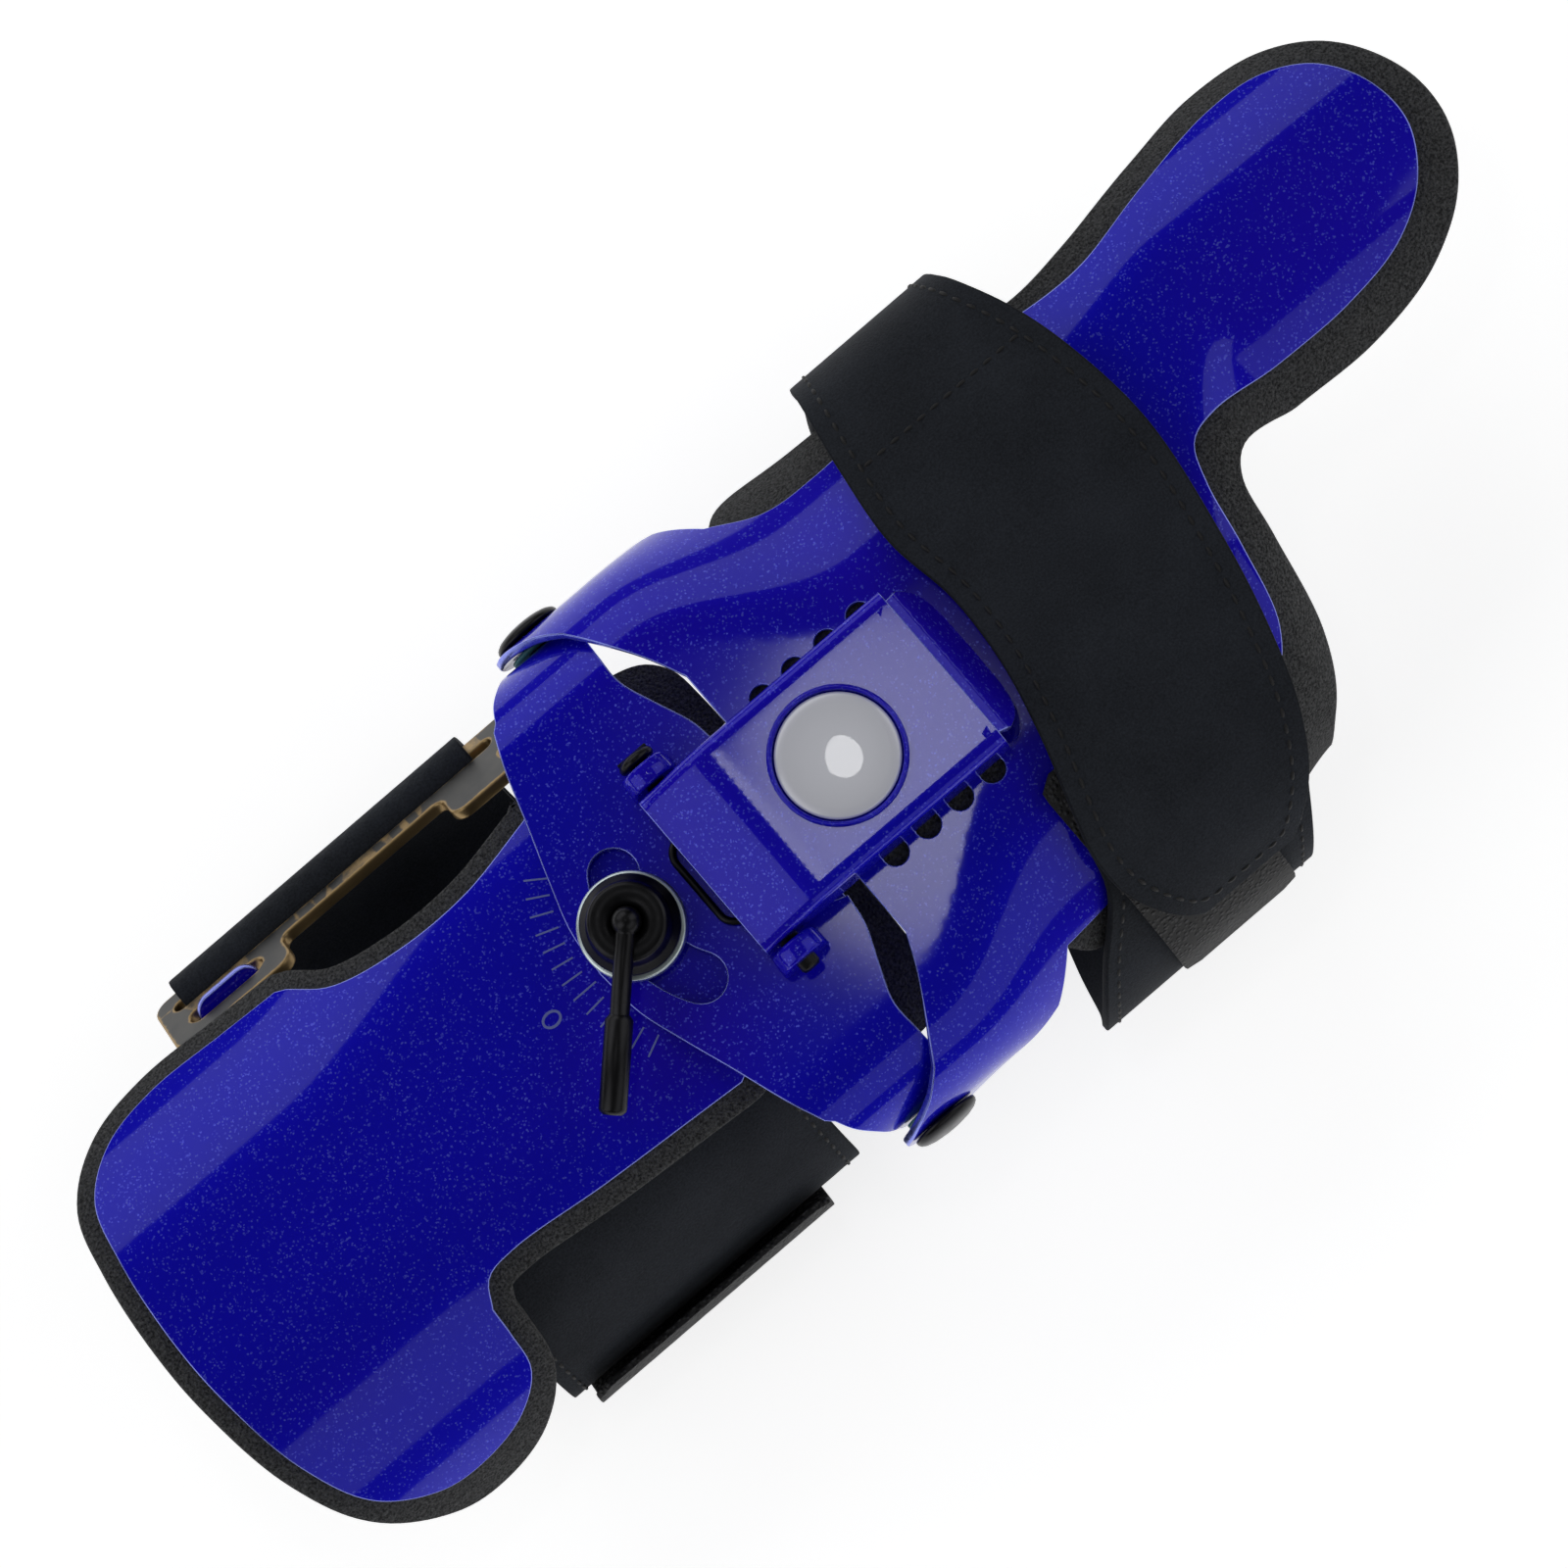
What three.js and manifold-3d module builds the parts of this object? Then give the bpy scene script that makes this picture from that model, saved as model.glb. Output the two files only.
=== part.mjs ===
// Bowling glove: a sheet metal wrist positioner with foam pads and two wrap straps.
// Millimetres, +X towards the fingertip, +Y towards the index finger, +Z out of the back of the hand.
// Heights are counted from the wrist bracket's flat top until the last step, which stands it on the table.

import * as THREE from 'three';
import { mergeVertices } from 'three/addons/utils/BufferGeometryUtils.js';
import Module from 'manifold-3d';

const wasm = await Module();
wasm.setup();

// Overall heights and clearances
const CROWN_HEIGHT = 68;
const FIT = 0.3;
const SHEET = 1.5;
const PAD_THICKNESS = 4.5;
const STRAP_THICKNESS = 1.6;

// Forearm plate
const FOREARM_REACH = 121.7;
const FOREARM_HALF_WIDTH = 45.8;
const FOREARM_DROP = 2.7;
const FOREARM_NOSE_RADIUS = 21;
const FOREARM_NOSE_REACH = 9;
const FOREARM_PAD_MARGIN = 3.8;

// Wrist bracket and side rivets
const BRACKET_REACH = 29.5;
const BRACKET_HALF_WIDTH = 49.5;
const BRACKET_BEND = 14;
const BRACKET_HALF_FLAT = BRACKET_HALF_WIDTH - BRACKET_BEND;
const HINGE_X = -2.3;
const HINGE_DROP = 17;
const BRACKET_EAR_RADIUS = 6.6;
const HAND_EAR_RADIUS = 7.5;
const HINGE_GAP = 1.6;
const HINGE_WASHER = 0.7;
const HINGE_WASHER_RADIUS = 5.4;
const RIVET_HEAD_RADIUS = 6.15;
const RIVET_HEAD_HEIGHT = 2.2;
const RIVET_SHANK_RADIUS = 2.4;

// Lateral lock: arc slot, bolt, washer, knob and lever
const SLOT_RADIUS = 20.5;
const SLOT_HALF_WIDTH = 4.2;
const SLOT_HALF_ANGLE = 33;
const BOLT_ANGLE = 173;
const BOLT_RADIUS = 2.9;
const CLAMP_WASHER_RADIUS = 9.1;
const CLAMP_WASHER_HEIGHT = 2.6;
const KNOB_RADIUS = 8.35;
const KNOB_HEIGHT = 7.2;
const KNOB_FACE_RADIUS = 5.9;
const LEVER_BALL_RADIUS = 2.5;
const LEVER_LENGTH = 31.5;
const LEVER_ROD_RADIUS = 1.65;
const LEVER_GRIP_RADIUS = 2.35;
const LEVER_ANGLE = 225;
const PIVOT_RADIUS = 3;
const PIVOT_HEAD_RADIUS = 6;

// Hand plate
const HAND_REACH = 162.4;
const HAND_HALF_WIDTH = 46;
const HAND_RISE = SHEET + HINGE_GAP;
const INDEX_OFFSET = 23;
const INDEX_REACH_START = 100;
const HAND_PAD_REACH = 168.4;
const HAND_PAD_HALF_WIDTH = 49;
const HOLE_RADIUS = 2.25;
const HOLE_START = 20;
const HOLE_PITCH = 6.9;
const HOLE_COUNT = 4;
const HOLE_OFFSET = 16.6;

// Latch cover, badge, pin and wire
const COVER_HALF_WIDTH = 16.2;
const COVER_LENGTH = 45.3;
const COVER_REAR = -6.5;
const COVER_TOP = 15;
const COVER_STEP = 5;
const COVER_REAR_TOP = 10.4;
const COVER_TIP = 50.8;
const COVER_SHEET = 1.4;
const BADGE_X = 23.1;
const BADGE_RADIUS = 10.4;
const BADGE_HEIGHT = 1.3;
const BADGE_POCKET = 0.7;
const PIN_HEIGHT = 6.2;
const PIN_RADIUS = 1.8;
const EAR_OUTER_RADIUS = 4.3;
const EAR_WIDTH = 3.6;
const WIRE_RADIUS = 0.65;

// Buckle: its plane runs outward and down along the forearm's left flank
const BUCKLE_Y = 37.5;
const BUCKLE_DROP = 19.4;
const BUCKLE_SLOPE = 55;
const BUCKLE_THICKNESS = 2.2;
const BUCKLE_REAR = -91.3;
const BUCKLE_FRONT = -5.5;
const BUCKLE_WIDTH = 18;
const BUCKLE_BAR_START = 8;
const BAND_SLOT_START = 11.6;
const BAND_SLOT_END = 14.3;
const LUG_STATION = 6.2;
const LUG_PROUD = 1.7;

// Straps
const BAND_WIDTH = 63;
const BAND_FOLD = -54.6;
const TAPE_WIDTH = 51;
const TAPE_THICKNESS = 1.2;
const HAND_STRAP_WIDTH = 45;
const TAB_THICKNESS = 1.7;
const HOOK_THICKNESS = 0.9;

const rad = THREE.MathUtils.degToRad;

// Solids from closed geometries
function solidOf(geometry) {
  const bare = geometry.clone();
  bare.deleteAttribute('normal');
  bare.deleteAttribute('uv');
  const merged = mergeVertices(bare, 1e-4);
  return new wasm.Manifold(new wasm.Mesh({
    numProp: 3,
    vertProperties: new Float32Array(merged.attributes.position.array),
    triVerts: new Uint32Array(merged.index.array),
  }));
}

function geometryOf(solid) {
  const mesh = solid.getMesh();
  const geometry = new THREE.BufferGeometry();
  geometry.setAttribute('position', new THREE.BufferAttribute(new Float32Array(mesh.vertProperties), 3));
  geometry.setIndex(new THREE.BufferAttribute(new Uint32Array(mesh.triVerts), 1));
  return geometry;
}

function joined(...solids) {
  return solids.reduce((whole, piece) => whole.add(piece));
}

function cut(solid, ...tools) {
  return tools.reduce((whole, tool) => whole.subtract(tool), solid);
}

// A grid of rows and columns, given by a point for each row, column and side, closed into a sheet
function closedSheet(rows, columns, pointAt) {
  const positions = [];
  const index = [];
  const at = (side, row, column) => (side * rows + row) * columns + column;
  for (let side = 0; side < 2; side += 1) {
    for (let row = 0; row < rows; row += 1) {
      for (let column = 0; column < columns; column += 1) {
        positions.push(...pointAt(row, column, side).toArray());
      }
    }
  }
  const quad = (a, b, c, d) => index.push(a, b, c, a, c, d);
  for (let row = 0; row < rows - 1; row += 1) {
    for (let column = 0; column < columns - 1; column += 1) {
      quad(at(0, row, column), at(0, row + 1, column), at(0, row + 1, column + 1), at(0, row, column + 1));
      quad(at(1, row, column), at(1, row, column + 1), at(1, row + 1, column + 1), at(1, row + 1, column));
    }
  }
  for (let row = 0; row < rows - 1; row += 1) {
    quad(at(0, row + 1, 0), at(0, row, 0), at(1, row, 0), at(1, row + 1, 0));
    const last = columns - 1;
    quad(at(0, row, last), at(0, row + 1, last), at(1, row + 1, last), at(1, row, last));
  }
  for (let column = 0; column < columns - 1; column += 1) {
    quad(at(0, 0, column), at(0, 0, column + 1), at(1, 0, column + 1), at(1, 0, column));
    const end = rows - 1;
    quad(at(0, end, column + 1), at(0, end, column), at(1, end, column), at(1, end, column + 1));
  }
  const geometry = new THREE.BufferGeometry();
  geometry.setAttribute('position', new THREE.BufferAttribute(new Float32Array(positions), 3));
  geometry.setIndex(index);
  return solidOf(geometry);
}

// The section of a bent sheet at one station: flat between two starts, then an arc down on each side
function sectionAt(rows, x) {
  const last = rows.length - 1;
  const after = rows.findIndex((row) => row.x >= x);
  if (after === 0) {
    return rows[0];
  }
  if (after === -1) {
    return rows[last];
  }
  const low = rows[after - 1];
  const high = rows[after];
  const share = THREE.MathUtils.smoothstep(x, low.x, high.x);
  const blend = (name) => THREE.MathUtils.lerp(low[name], high[name], share);
  return {
    left: blend('left'),
    leftBend: blend('leftBend'),
    right: blend('right'),
    rightBend: blend('rightBend'),
    crown: THREE.MathUtils.lerp(low.crown, high.crown, (x - low.x) / (high.x - low.x)),
  };
}

// A point of a bent sheet: its side, its angle round the bend, the straight run after it and its lift
function formPoint(section, x, side, angle, straight, lift) {
  const start = side > 0 ? section.left : section.right;
  const bend = side > 0 ? section.leftBend : section.rightBend;
  return new THREE.Vector3(
    x,
    start + side * (bend + lift) * Math.sin(angle),
    section.crown - bend + (bend + lift) * Math.cos(angle) - straight,
  );
}

// A sheet over a form, with its columns only where it bends. An outline ends the bends square to the form.
function formSlab(rows, stations, wrap, lift, thickness, outline) {
  const half = [];
  for (let i = 0; i <= wrap.steps; i += 1) {
    half.push({ share: i / wrap.steps, straight: 0 });
  }
  if (wrap.straight > 0) {
    half.push({ share: 1, straight: wrap.straight });
  }
  const right = half.map((column) => ({ ...column, side: -1 })).reverse();
  const columns = right.concat(half.map((column) => ({ ...column, side: 1 })));
  const fullAngle = rad(wrap.degrees);
  const limitAt = (section, x, side) => {
    if (!outline) {
      return fullAngle;
    }
    const edge = outlineEdge(outline, x, side);
    const start = side > 0 ? section.left : section.right;
    const bend = side > 0 ? section.leftBend : section.rightBend;
    const sine = THREE.MathUtils.clamp(side * (edge - start) / (bend + lift), 0.3, 1);
    return Math.min(Math.asin(sine), fullAngle);
  };
  return closedSheet(stations.length, columns.length, (row, index, face) => {
    const x = stations[row];
    const section = sectionAt(rows, x);
    const { side, share, straight } = columns[index];
    const angle = share * limitAt(section, x, side);
    return formPoint(section, x, side, angle, straight, face === 0 ? lift : lift - thickness);
  });
}

// The outermost point of a plan outline on one side at a station
function outlineEdge(points, x, side) {
  let edge = -Infinity;
  points.forEach((point, i) => {
    const next = points[(i + 1) % points.length];
    if ((point.x - x) * (next.x - x) <= 0 && point.x !== next.x) {
      const y = THREE.MathUtils.lerp(point.y, next.y, (x - point.x) / (next.x - point.x));
      edge = Math.max(edge, side * y);
    }
  });
  return side * edge;
}

// The height of a form's surface over a point in plan
function formHeight(rows, x, y, lift) {
  const section = sectionAt(rows, x);
  const side = y >= (section.left + section.right) / 2 ? 1 : -1;
  const start = side > 0 ? section.left : section.right;
  const bend = side > 0 ? section.leftBend : section.rightBend;
  const beyond = side * (y - start);
  if (beyond <= 0) {
    return section.crown + lift;
  }
  const sine = Math.min(beyond / (bend + lift), 1);
  return section.crown - bend + (bend + lift) * Math.sqrt(1 - sine * sine);
}

function stationsBetween(start, end, count) {
  return Array.from({ length: count }, (unused, i) => THREE.MathUtils.lerp(start, end, i / (count - 1)));
}

// Plan outlines: each run is a smooth curve through its rows, and runs meet at corners
function smoothRun(rows, along, across, perSpan) {
  const points = rows.map((row) => new THREE.Vector3(row.x * along, row.y * across, 0));
  const curve = new THREE.CatmullRomCurve3(points, false, 'centripetal');
  return curve.getPoints((rows.length - 1) * perSpan).map((point) => new THREE.Vector2(point.x, point.y));
}

function arcRun(centreX, centreY, radius, startDegrees, endDegrees, count) {
  return stationsBetween(startDegrees, endDegrees, count).map((angle) => new THREE.Vector2(
    centreX + radius * Math.cos(rad(angle)),
    centreY + radius * Math.sin(rad(angle)),
  ));
}

// A prism over a closed outline, standing along Z
function prism(points, low, high, holes = []) {
  const shape = new THREE.Shape(points);
  holes.forEach((hole) => shape.holes.push(new THREE.Path(hole)));
  const geometry = new THREE.ExtrudeGeometry(shape, { depth: high - low, bevelEnabled: false });
  geometry.translate(0, 0, low);
  return solidOf(geometry);
}

// A prism over an outline drawn in X and Z, standing along Y
function sidePrism(points, low, high) {
  const shape = new THREE.Shape(points);
  const geometry = new THREE.ExtrudeGeometry(shape, { depth: high - low, bevelEnabled: false });
  geometry.rotateX(Math.PI / 2);
  geometry.translate(0, high, 0);
  return solidOf(geometry);
}

// A prism over an outline drawn in Y and Z, standing along X
function crossPrism(points, low, high) {
  const shape = new THREE.Shape(points);
  const geometry = new THREE.ExtrudeGeometry(shape, { depth: high - low, bevelEnabled: false });
  geometry.applyMatrix4(new THREE.Matrix4().makeBasis(
    new THREE.Vector3(0, 1, 0),
    new THREE.Vector3(0, 0, 1),
    new THREE.Vector3(1, 0, 0),
  ));
  geometry.translate(low, 0, 0);
  return solidOf(geometry);
}

// A turned piece about Z from a radius and height profile, then laid along an axis
function turned(profile, sides, axis = 'z') {
  const geometry = new THREE.LatheGeometry(profile.map(([r, z]) => new THREE.Vector2(r, z)), sides);
  geometry.rotateX(Math.PI / 2);
  if (axis === 'y') {
    geometry.rotateX(-Math.PI / 2);
  }
  return geometry;
}

function moved(geometry, x, y, z) {
  geometry.translate(x, y, z);
  return geometry;
}

function rod(radius, low, high, sides = 20) {
  return turned([[0, low], [radius, low], [radius, high], [0, high]], sides);
}

function rodAlongY(radius, low, high, sides = 20) {
  return turned([[0, low], [radius, low], [radius, high], [0, high]], sides, 'y');
}

function box(x0, x1, y0, y1, z0, z1) {
  const geometry = new THREE.BoxGeometry(x1 - x0, y1 - y0, z1 - z0);
  geometry.translate((x0 + x1) / 2, (y0 + y1) / 2, (z0 + z1) / 2);
  return solidOf(geometry);
}

// A line thickened into an outline in its own plane, for strips and bands
function thickened(points, thickness) {
  const left = [];
  const right = [];
  points.forEach((point, i) => {
    const before = points[Math.max(i - 1, 0)];
    const after = points[Math.min(i + 1, points.length - 1)];
    const direction = after.clone().sub(before).normalize();
    const normal = new THREE.Vector2(-direction.y, direction.x).multiplyScalar(thickness / 2);
    left.push(point.clone().add(normal));
    right.push(point.clone().sub(normal));
  });
  return left.concat(right.reverse());
}

function curvePoints(route, count) {
  const points = route.map(([y, z]) => new THREE.Vector3(y, z, 0));
  const curve = new THREE.CatmullRomCurve3(points, false, 'centripetal');
  return curve.getSpacedPoints(count).map((point) => new THREE.Vector2(point.x, point.y));
}

// Forms, a row for each section: where the bends start, their radii and the crown's height
const FOREARM_BEND = 48;
const forearmForm = [
  { x: -85, left: 6, leftBend: FOREARM_BEND, right: -6, rightBend: FOREARM_BEND, crown: -FOREARM_DROP },
  { x: -35, left: 14, leftBend: FOREARM_BEND, right: -14, rightBend: FOREARM_BEND, crown: -FOREARM_DROP },
];

const bracketForm = [{
  x: 0,
  left: BRACKET_HALF_FLAT,
  leftBend: BRACKET_BEND,
  right: -BRACKET_HALF_FLAT,
  rightBend: BRACKET_BEND,
  crown: 0,
}];

const HAND_ARM_BEND = BRACKET_BEND + HAND_RISE;
const HAND_FLAT = 16;
const HAND_BEND = 38;
const INDEX_BEND = 30;
const INDEX_FLAT = 3;
const handForm = [
  { x: 10, left: BRACKET_HALF_FLAT, leftBend: HAND_ARM_BEND, right: -BRACKET_HALF_FLAT,
    rightBend: HAND_ARM_BEND, crown: HAND_RISE },
  { x: 46, left: HAND_FLAT, leftBend: HAND_BEND, right: -HAND_FLAT, rightBend: HAND_BEND, crown: HAND_RISE },
  { x: 62, left: HAND_FLAT, leftBend: HAND_BEND, right: -HAND_FLAT, rightBend: HAND_BEND,
    crown: HAND_RISE - 0.2 },
  { x: 90, left: INDEX_OFFSET - INDEX_FLAT, leftBend: HAND_BEND, right: -INDEX_FLAT,
    rightBend: HAND_BEND + 6, crown: HAND_RISE - 1.5 },
  { x: 118, left: INDEX_OFFSET + INDEX_FLAT, leftBend: INDEX_BEND, right: INDEX_OFFSET - INDEX_FLAT,
    rightBend: INDEX_BEND, crown: HAND_RISE - 4 },
  { x: 142, left: INDEX_OFFSET + INDEX_FLAT, leftBend: INDEX_BEND, right: INDEX_OFFSET - INDEX_FLAT,
    rightBend: INDEX_BEND, crown: HAND_RISE - 7.4 },
  { x: 175, left: INDEX_OFFSET + INDEX_FLAT, leftBend: INDEX_BEND, right: INDEX_OFFSET - INDEX_FLAT,
    rightBend: INDEX_BEND, crown: HAND_RISE - 13.4 },
];

// Forearm outline, shares of the reach and half width: left flank, round rear, right flank, waist
const forearmLeft = [
  { x: -0.187, y: 0.617 }, { x: -0.313, y: 0.552 }, { x: -0.43, y: 0.558 }, { x: -0.53, y: 0.625 },
  { x: -0.58, y: 0.735 },
];
const forearmRear = [
  { x: -0.595, y: 0.755 }, { x: -0.69, y: 0.77 }, { x: -0.81, y: 0.782 }, { x: -0.9, y: 0.73 },
  { x: -0.962, y: 0.59 }, { x: -0.985, y: 0.36 }, { x: -1, y: 0 }, { x: -0.998, y: -0.27 },
  { x: -0.98, y: -0.62 }, { x: -0.94, y: -0.86 }, { x: -0.865, y: -0.98 }, { x: -0.79, y: -1 },
  { x: -0.71, y: -0.96 }, { x: -0.66, y: -0.87 }, { x: -0.648, y: -0.73 },
];
const forearmWaist = [
  { x: -0.645, y: -0.64 }, { x: -0.62, y: -0.55 }, { x: -0.57, y: -0.53 }, { x: -0.42, y: -0.57 },
  { x: -0.192, y: -0.612 },
];
const LUG_FOOT = 0.72;

function forearmOutline() {
  const foot = LUG_FOOT * FOREARM_HALF_WIDTH;
  const nose = Math.acos(FOREARM_NOSE_REACH / FOREARM_NOSE_RADIUS) * THREE.MathUtils.RAD2DEG;
  return [
    ...arcRun(0, 0, FOREARM_NOSE_RADIUS, -110, -nose, 7),
    ...arcRun(0, 0, FOREARM_NOSE_RADIUS, nose, 100, 6),
    new THREE.Vector2(-8, foot - 2),
    new THREE.Vector2(-10, foot),
    new THREE.Vector2(-18.5, foot),
    ...smoothRun(forearmLeft, FOREARM_REACH, FOREARM_HALF_WIDTH, 3),
    ...smoothRun(forearmRear, FOREARM_REACH, FOREARM_HALF_WIDTH, 3),
    ...smoothRun(forearmWaist, FOREARM_REACH, FOREARM_HALF_WIDTH, 3),
  ];
}

// An outline moved outward by a margin, for the foam that shows past the metal
function widened(points, margin) {
  const count = points.length;
  const area = THREE.ShapeUtils.area(points);
  return points.map((point, i) => {
    const before = points[(i + count - 1) % count];
    const after = points[(i + 1) % count];
    const direction = after.clone().sub(before).normalize();
    const normal = new THREE.Vector2(direction.y, -direction.x).multiplyScalar(area > 0 ? margin : -margin);
    return point.clone().add(normal);
  });
}

const buckleAlong = new THREE.Vector2(Math.cos(rad(BUCKLE_SLOPE)), -Math.sin(rad(BUCKLE_SLOPE)));
const buckleNormal = new THREE.Vector2(-buckleAlong.y, buckleAlong.x);

// A point in the buckle's plane as Y and Z: how far out along it, and how far off its middle
function bucklePoint(along, lift) {
  return new THREE.Vector2(BUCKLE_Y, -BUCKLE_DROP)
    .addScaledVector(buckleAlong, along)
    .addScaledVector(buckleNormal, lift);
}

// A hook lug bent up from the plate's flank through the buckle's slot, or the room it needs
function lug(place, room) {
  const root = 0.66 * FOREARM_HALF_WIDTH;
  const beneath = -BUCKLE_THICKNESS / 2 - FIT - SHEET / 2;
  const route = [
    new THREE.Vector2(root, formHeight(forearmForm, place.start, root, -SHEET / 2)),
    bucklePoint(-0.6, beneath - 1.2),
    bucklePoint(LUG_STATION - 1.4, beneath - 0.6),
    bucklePoint(LUG_STATION, beneath + 0.2),
    bucklePoint(LUG_STATION, BUCKLE_THICKNESS / 2 + LUG_PROUD),
  ];
  const end = place.start + place.length + room;
  return crossPrism(thickened(route, SHEET + 2 * room), place.start - room, end);
}

const lugs = [{ start: -85.5, length: 13 }, { start: -18, length: 8.5 }];

const forearmStations = [-FOREARM_REACH - 8, -85, -73, -60, -47, -35, 24];
const padStations = [-FOREARM_REACH - 8, -117, -108, -97, -84, -79, -75, -71, -60, -40, -22, 24];
const forearmWrap = { degrees: 78, steps: 10, straight: 0 };

function forearmPlate() {
  const slab = formSlab(forearmForm, forearmStations, forearmWrap, 0, SHEET);
  const outline = prism(forearmOutline(), -60, 20);
  const bolt = boltPlace();
  return cut(
    joined(slab.intersect(outline), ...lugs.map((place) => lug(place, 0))),
    solidOf(rod(PIVOT_RADIUS + FIT, -20, 5)),
    solidOf(moved(rod(BOLT_RADIUS + FIT, -20, 5), bolt.x, bolt.y, 0)),
  );
}

// The foam's two wings fall away beneath the bracket, skived thin; Y is a share of the half width
const WING_THICKNESS = 1.5;
const WING_FALL = 9;
const wingOutline = [
  { x: -22, y: -0.6 }, { x: -14, y: -0.72 }, { x: -8, y: -0.8 }, { x: -2, y: -0.85 }, { x: 4, y: -0.85 },
  { x: 7.5, y: -0.79 }, { x: 10, y: -0.65 }, { x: 11.5, y: -0.48 }, { x: 12.5, y: -0.22 }, { x: 12.8, y: 0 },
  { x: 12.5, y: 0.22 }, { x: 11.5, y: 0.48 }, { x: 10, y: 0.65 }, { x: 7.5, y: 0.79 }, { x: 4, y: 0.85 },
  { x: 1, y: 0.86 }, { x: -1, y: 0.82 }, { x: -2.4, y: 0.72 }, { x: -6, y: 0.65 }, { x: -22, y: 0.62 },
];
const wingForm = [
  { ...forearmForm[1], x: -24 },
  { ...forearmForm[1], x: -14 },
  { ...forearmForm[1], x: 13, crown: -FOREARM_DROP - WING_FALL },
];

function padWings() {
  const lift = WING_THICKNESS + 0.2 - SHEET - FIT - PAD_THICKNESS;
  const outline = smoothRun(wingOutline, 1, FOREARM_HALF_WIDTH, 2);
  const slab = formSlab(wingForm, [-24, -14, -5, 1, 7, 13], forearmWrap, lift, WING_THICKNESS, outline);
  return slab.intersect(prism(outline, -60, 20));
}

function forearmPad() {
  const top = -SHEET - FIT;
  const margin = widened(forearmOutline(), FOREARM_PAD_MARGIN);
  const slab = formSlab(forearmForm, padStations, forearmWrap, top, PAD_THICKNESS, margin);
  const bolt = boltPlace();
  const pocketLow = -FOREARM_DROP - SHEET - FIT - 1.8;
  const pad = cut(
    slab.intersect(prism(widened(margin, 0.4), -60, 20)),
    box(FOREARM_NOSE_REACH - 1, 30, -70, 70, -60, 20),
    box(-24, 20, FOREARM_NOSE_RADIUS + 9, 70, -60, 20),
    box(-14, 20, FOREARM_NOSE_RADIUS, 70, -60, 20),
    box(-14, 20, -70, -FOREARM_NOSE_RADIUS, -60, 20),
  );
  return cut(
    joined(pad, padWings()),
    solidOf(rod(PIVOT_HEAD_RADIUS + FIT, pocketLow, 5)),
    solidOf(moved(rod(BOLT_RADIUS + 2.6 + FIT, pocketLow, 5), bolt.x, bolt.y, 0)),
    buckleRoom(),
    ...lugs.map((place) => lug(place, 2 * FIT)),
  );
}

// The room that the buckle keeps from the foam
function buckleRoom() {
  const corners = [
    bucklePoint(-1, -BUCKLE_THICKNESS / 2 - SHEET - 3 * FIT),
    bucklePoint(LUG_STATION + 14, -BUCKLE_THICKNESS / 2 - SHEET - 3 * FIT),
    bucklePoint(LUG_STATION + 14, 12),
    bucklePoint(-1, 12),
  ];
  return crossPrism(corners, BUCKLE_REAR - 1.5, BUCKLE_FRONT + 3);
}

// The wrist bracket: side ears hold the rivets, an arc slot takes the bolt, two knuckles carry the cover
const bracketRear = [
  { x: -0.4, y: 1.053 }, { x: -0.5, y: 0.973 }, { x: -0.57, y: 0.887 }, { x: -0.67, y: 0.72 },
  { x: -0.78, y: 0.527 },
  { x: -0.89, y: 0.333 }, { x: -0.97, y: 0.173 }, { x: -1, y: 0 }, { x: -0.97, y: -0.173 },
  { x: -0.89, y: -0.333 },
  { x: -0.78, y: -0.527 }, { x: -0.67, y: -0.72 }, { x: -0.57, y: -0.887 }, { x: -0.5, y: -0.973 },
  { x: -0.4, y: -1.053 },
];
const bracketFront = [
  { x: 0.14, y: -1.053 }, { x: 0.14, y: -0.827 }, { x: 0.135, y: -0.7 }, { x: 0.21, y: -0.573 },
  { x: 0.3, y: -0.44 },
  { x: 0.325, y: -0.333 },
];

function earTongue(radius, shoulderRear, shoulderFront, shoulderZ) {
  return [
    new THREE.Vector2(-90, 20),
    new THREE.Vector2(-90, shoulderZ),
    new THREE.Vector2(shoulderRear, shoulderZ),
    ...arcRun(HINGE_X, -HINGE_DROP, radius, 190, 350, 12),
    new THREE.Vector2(shoulderFront, shoulderZ),
    new THREE.Vector2(90, shoulderZ),
    new THREE.Vector2(90, 20),
  ];
}

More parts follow.
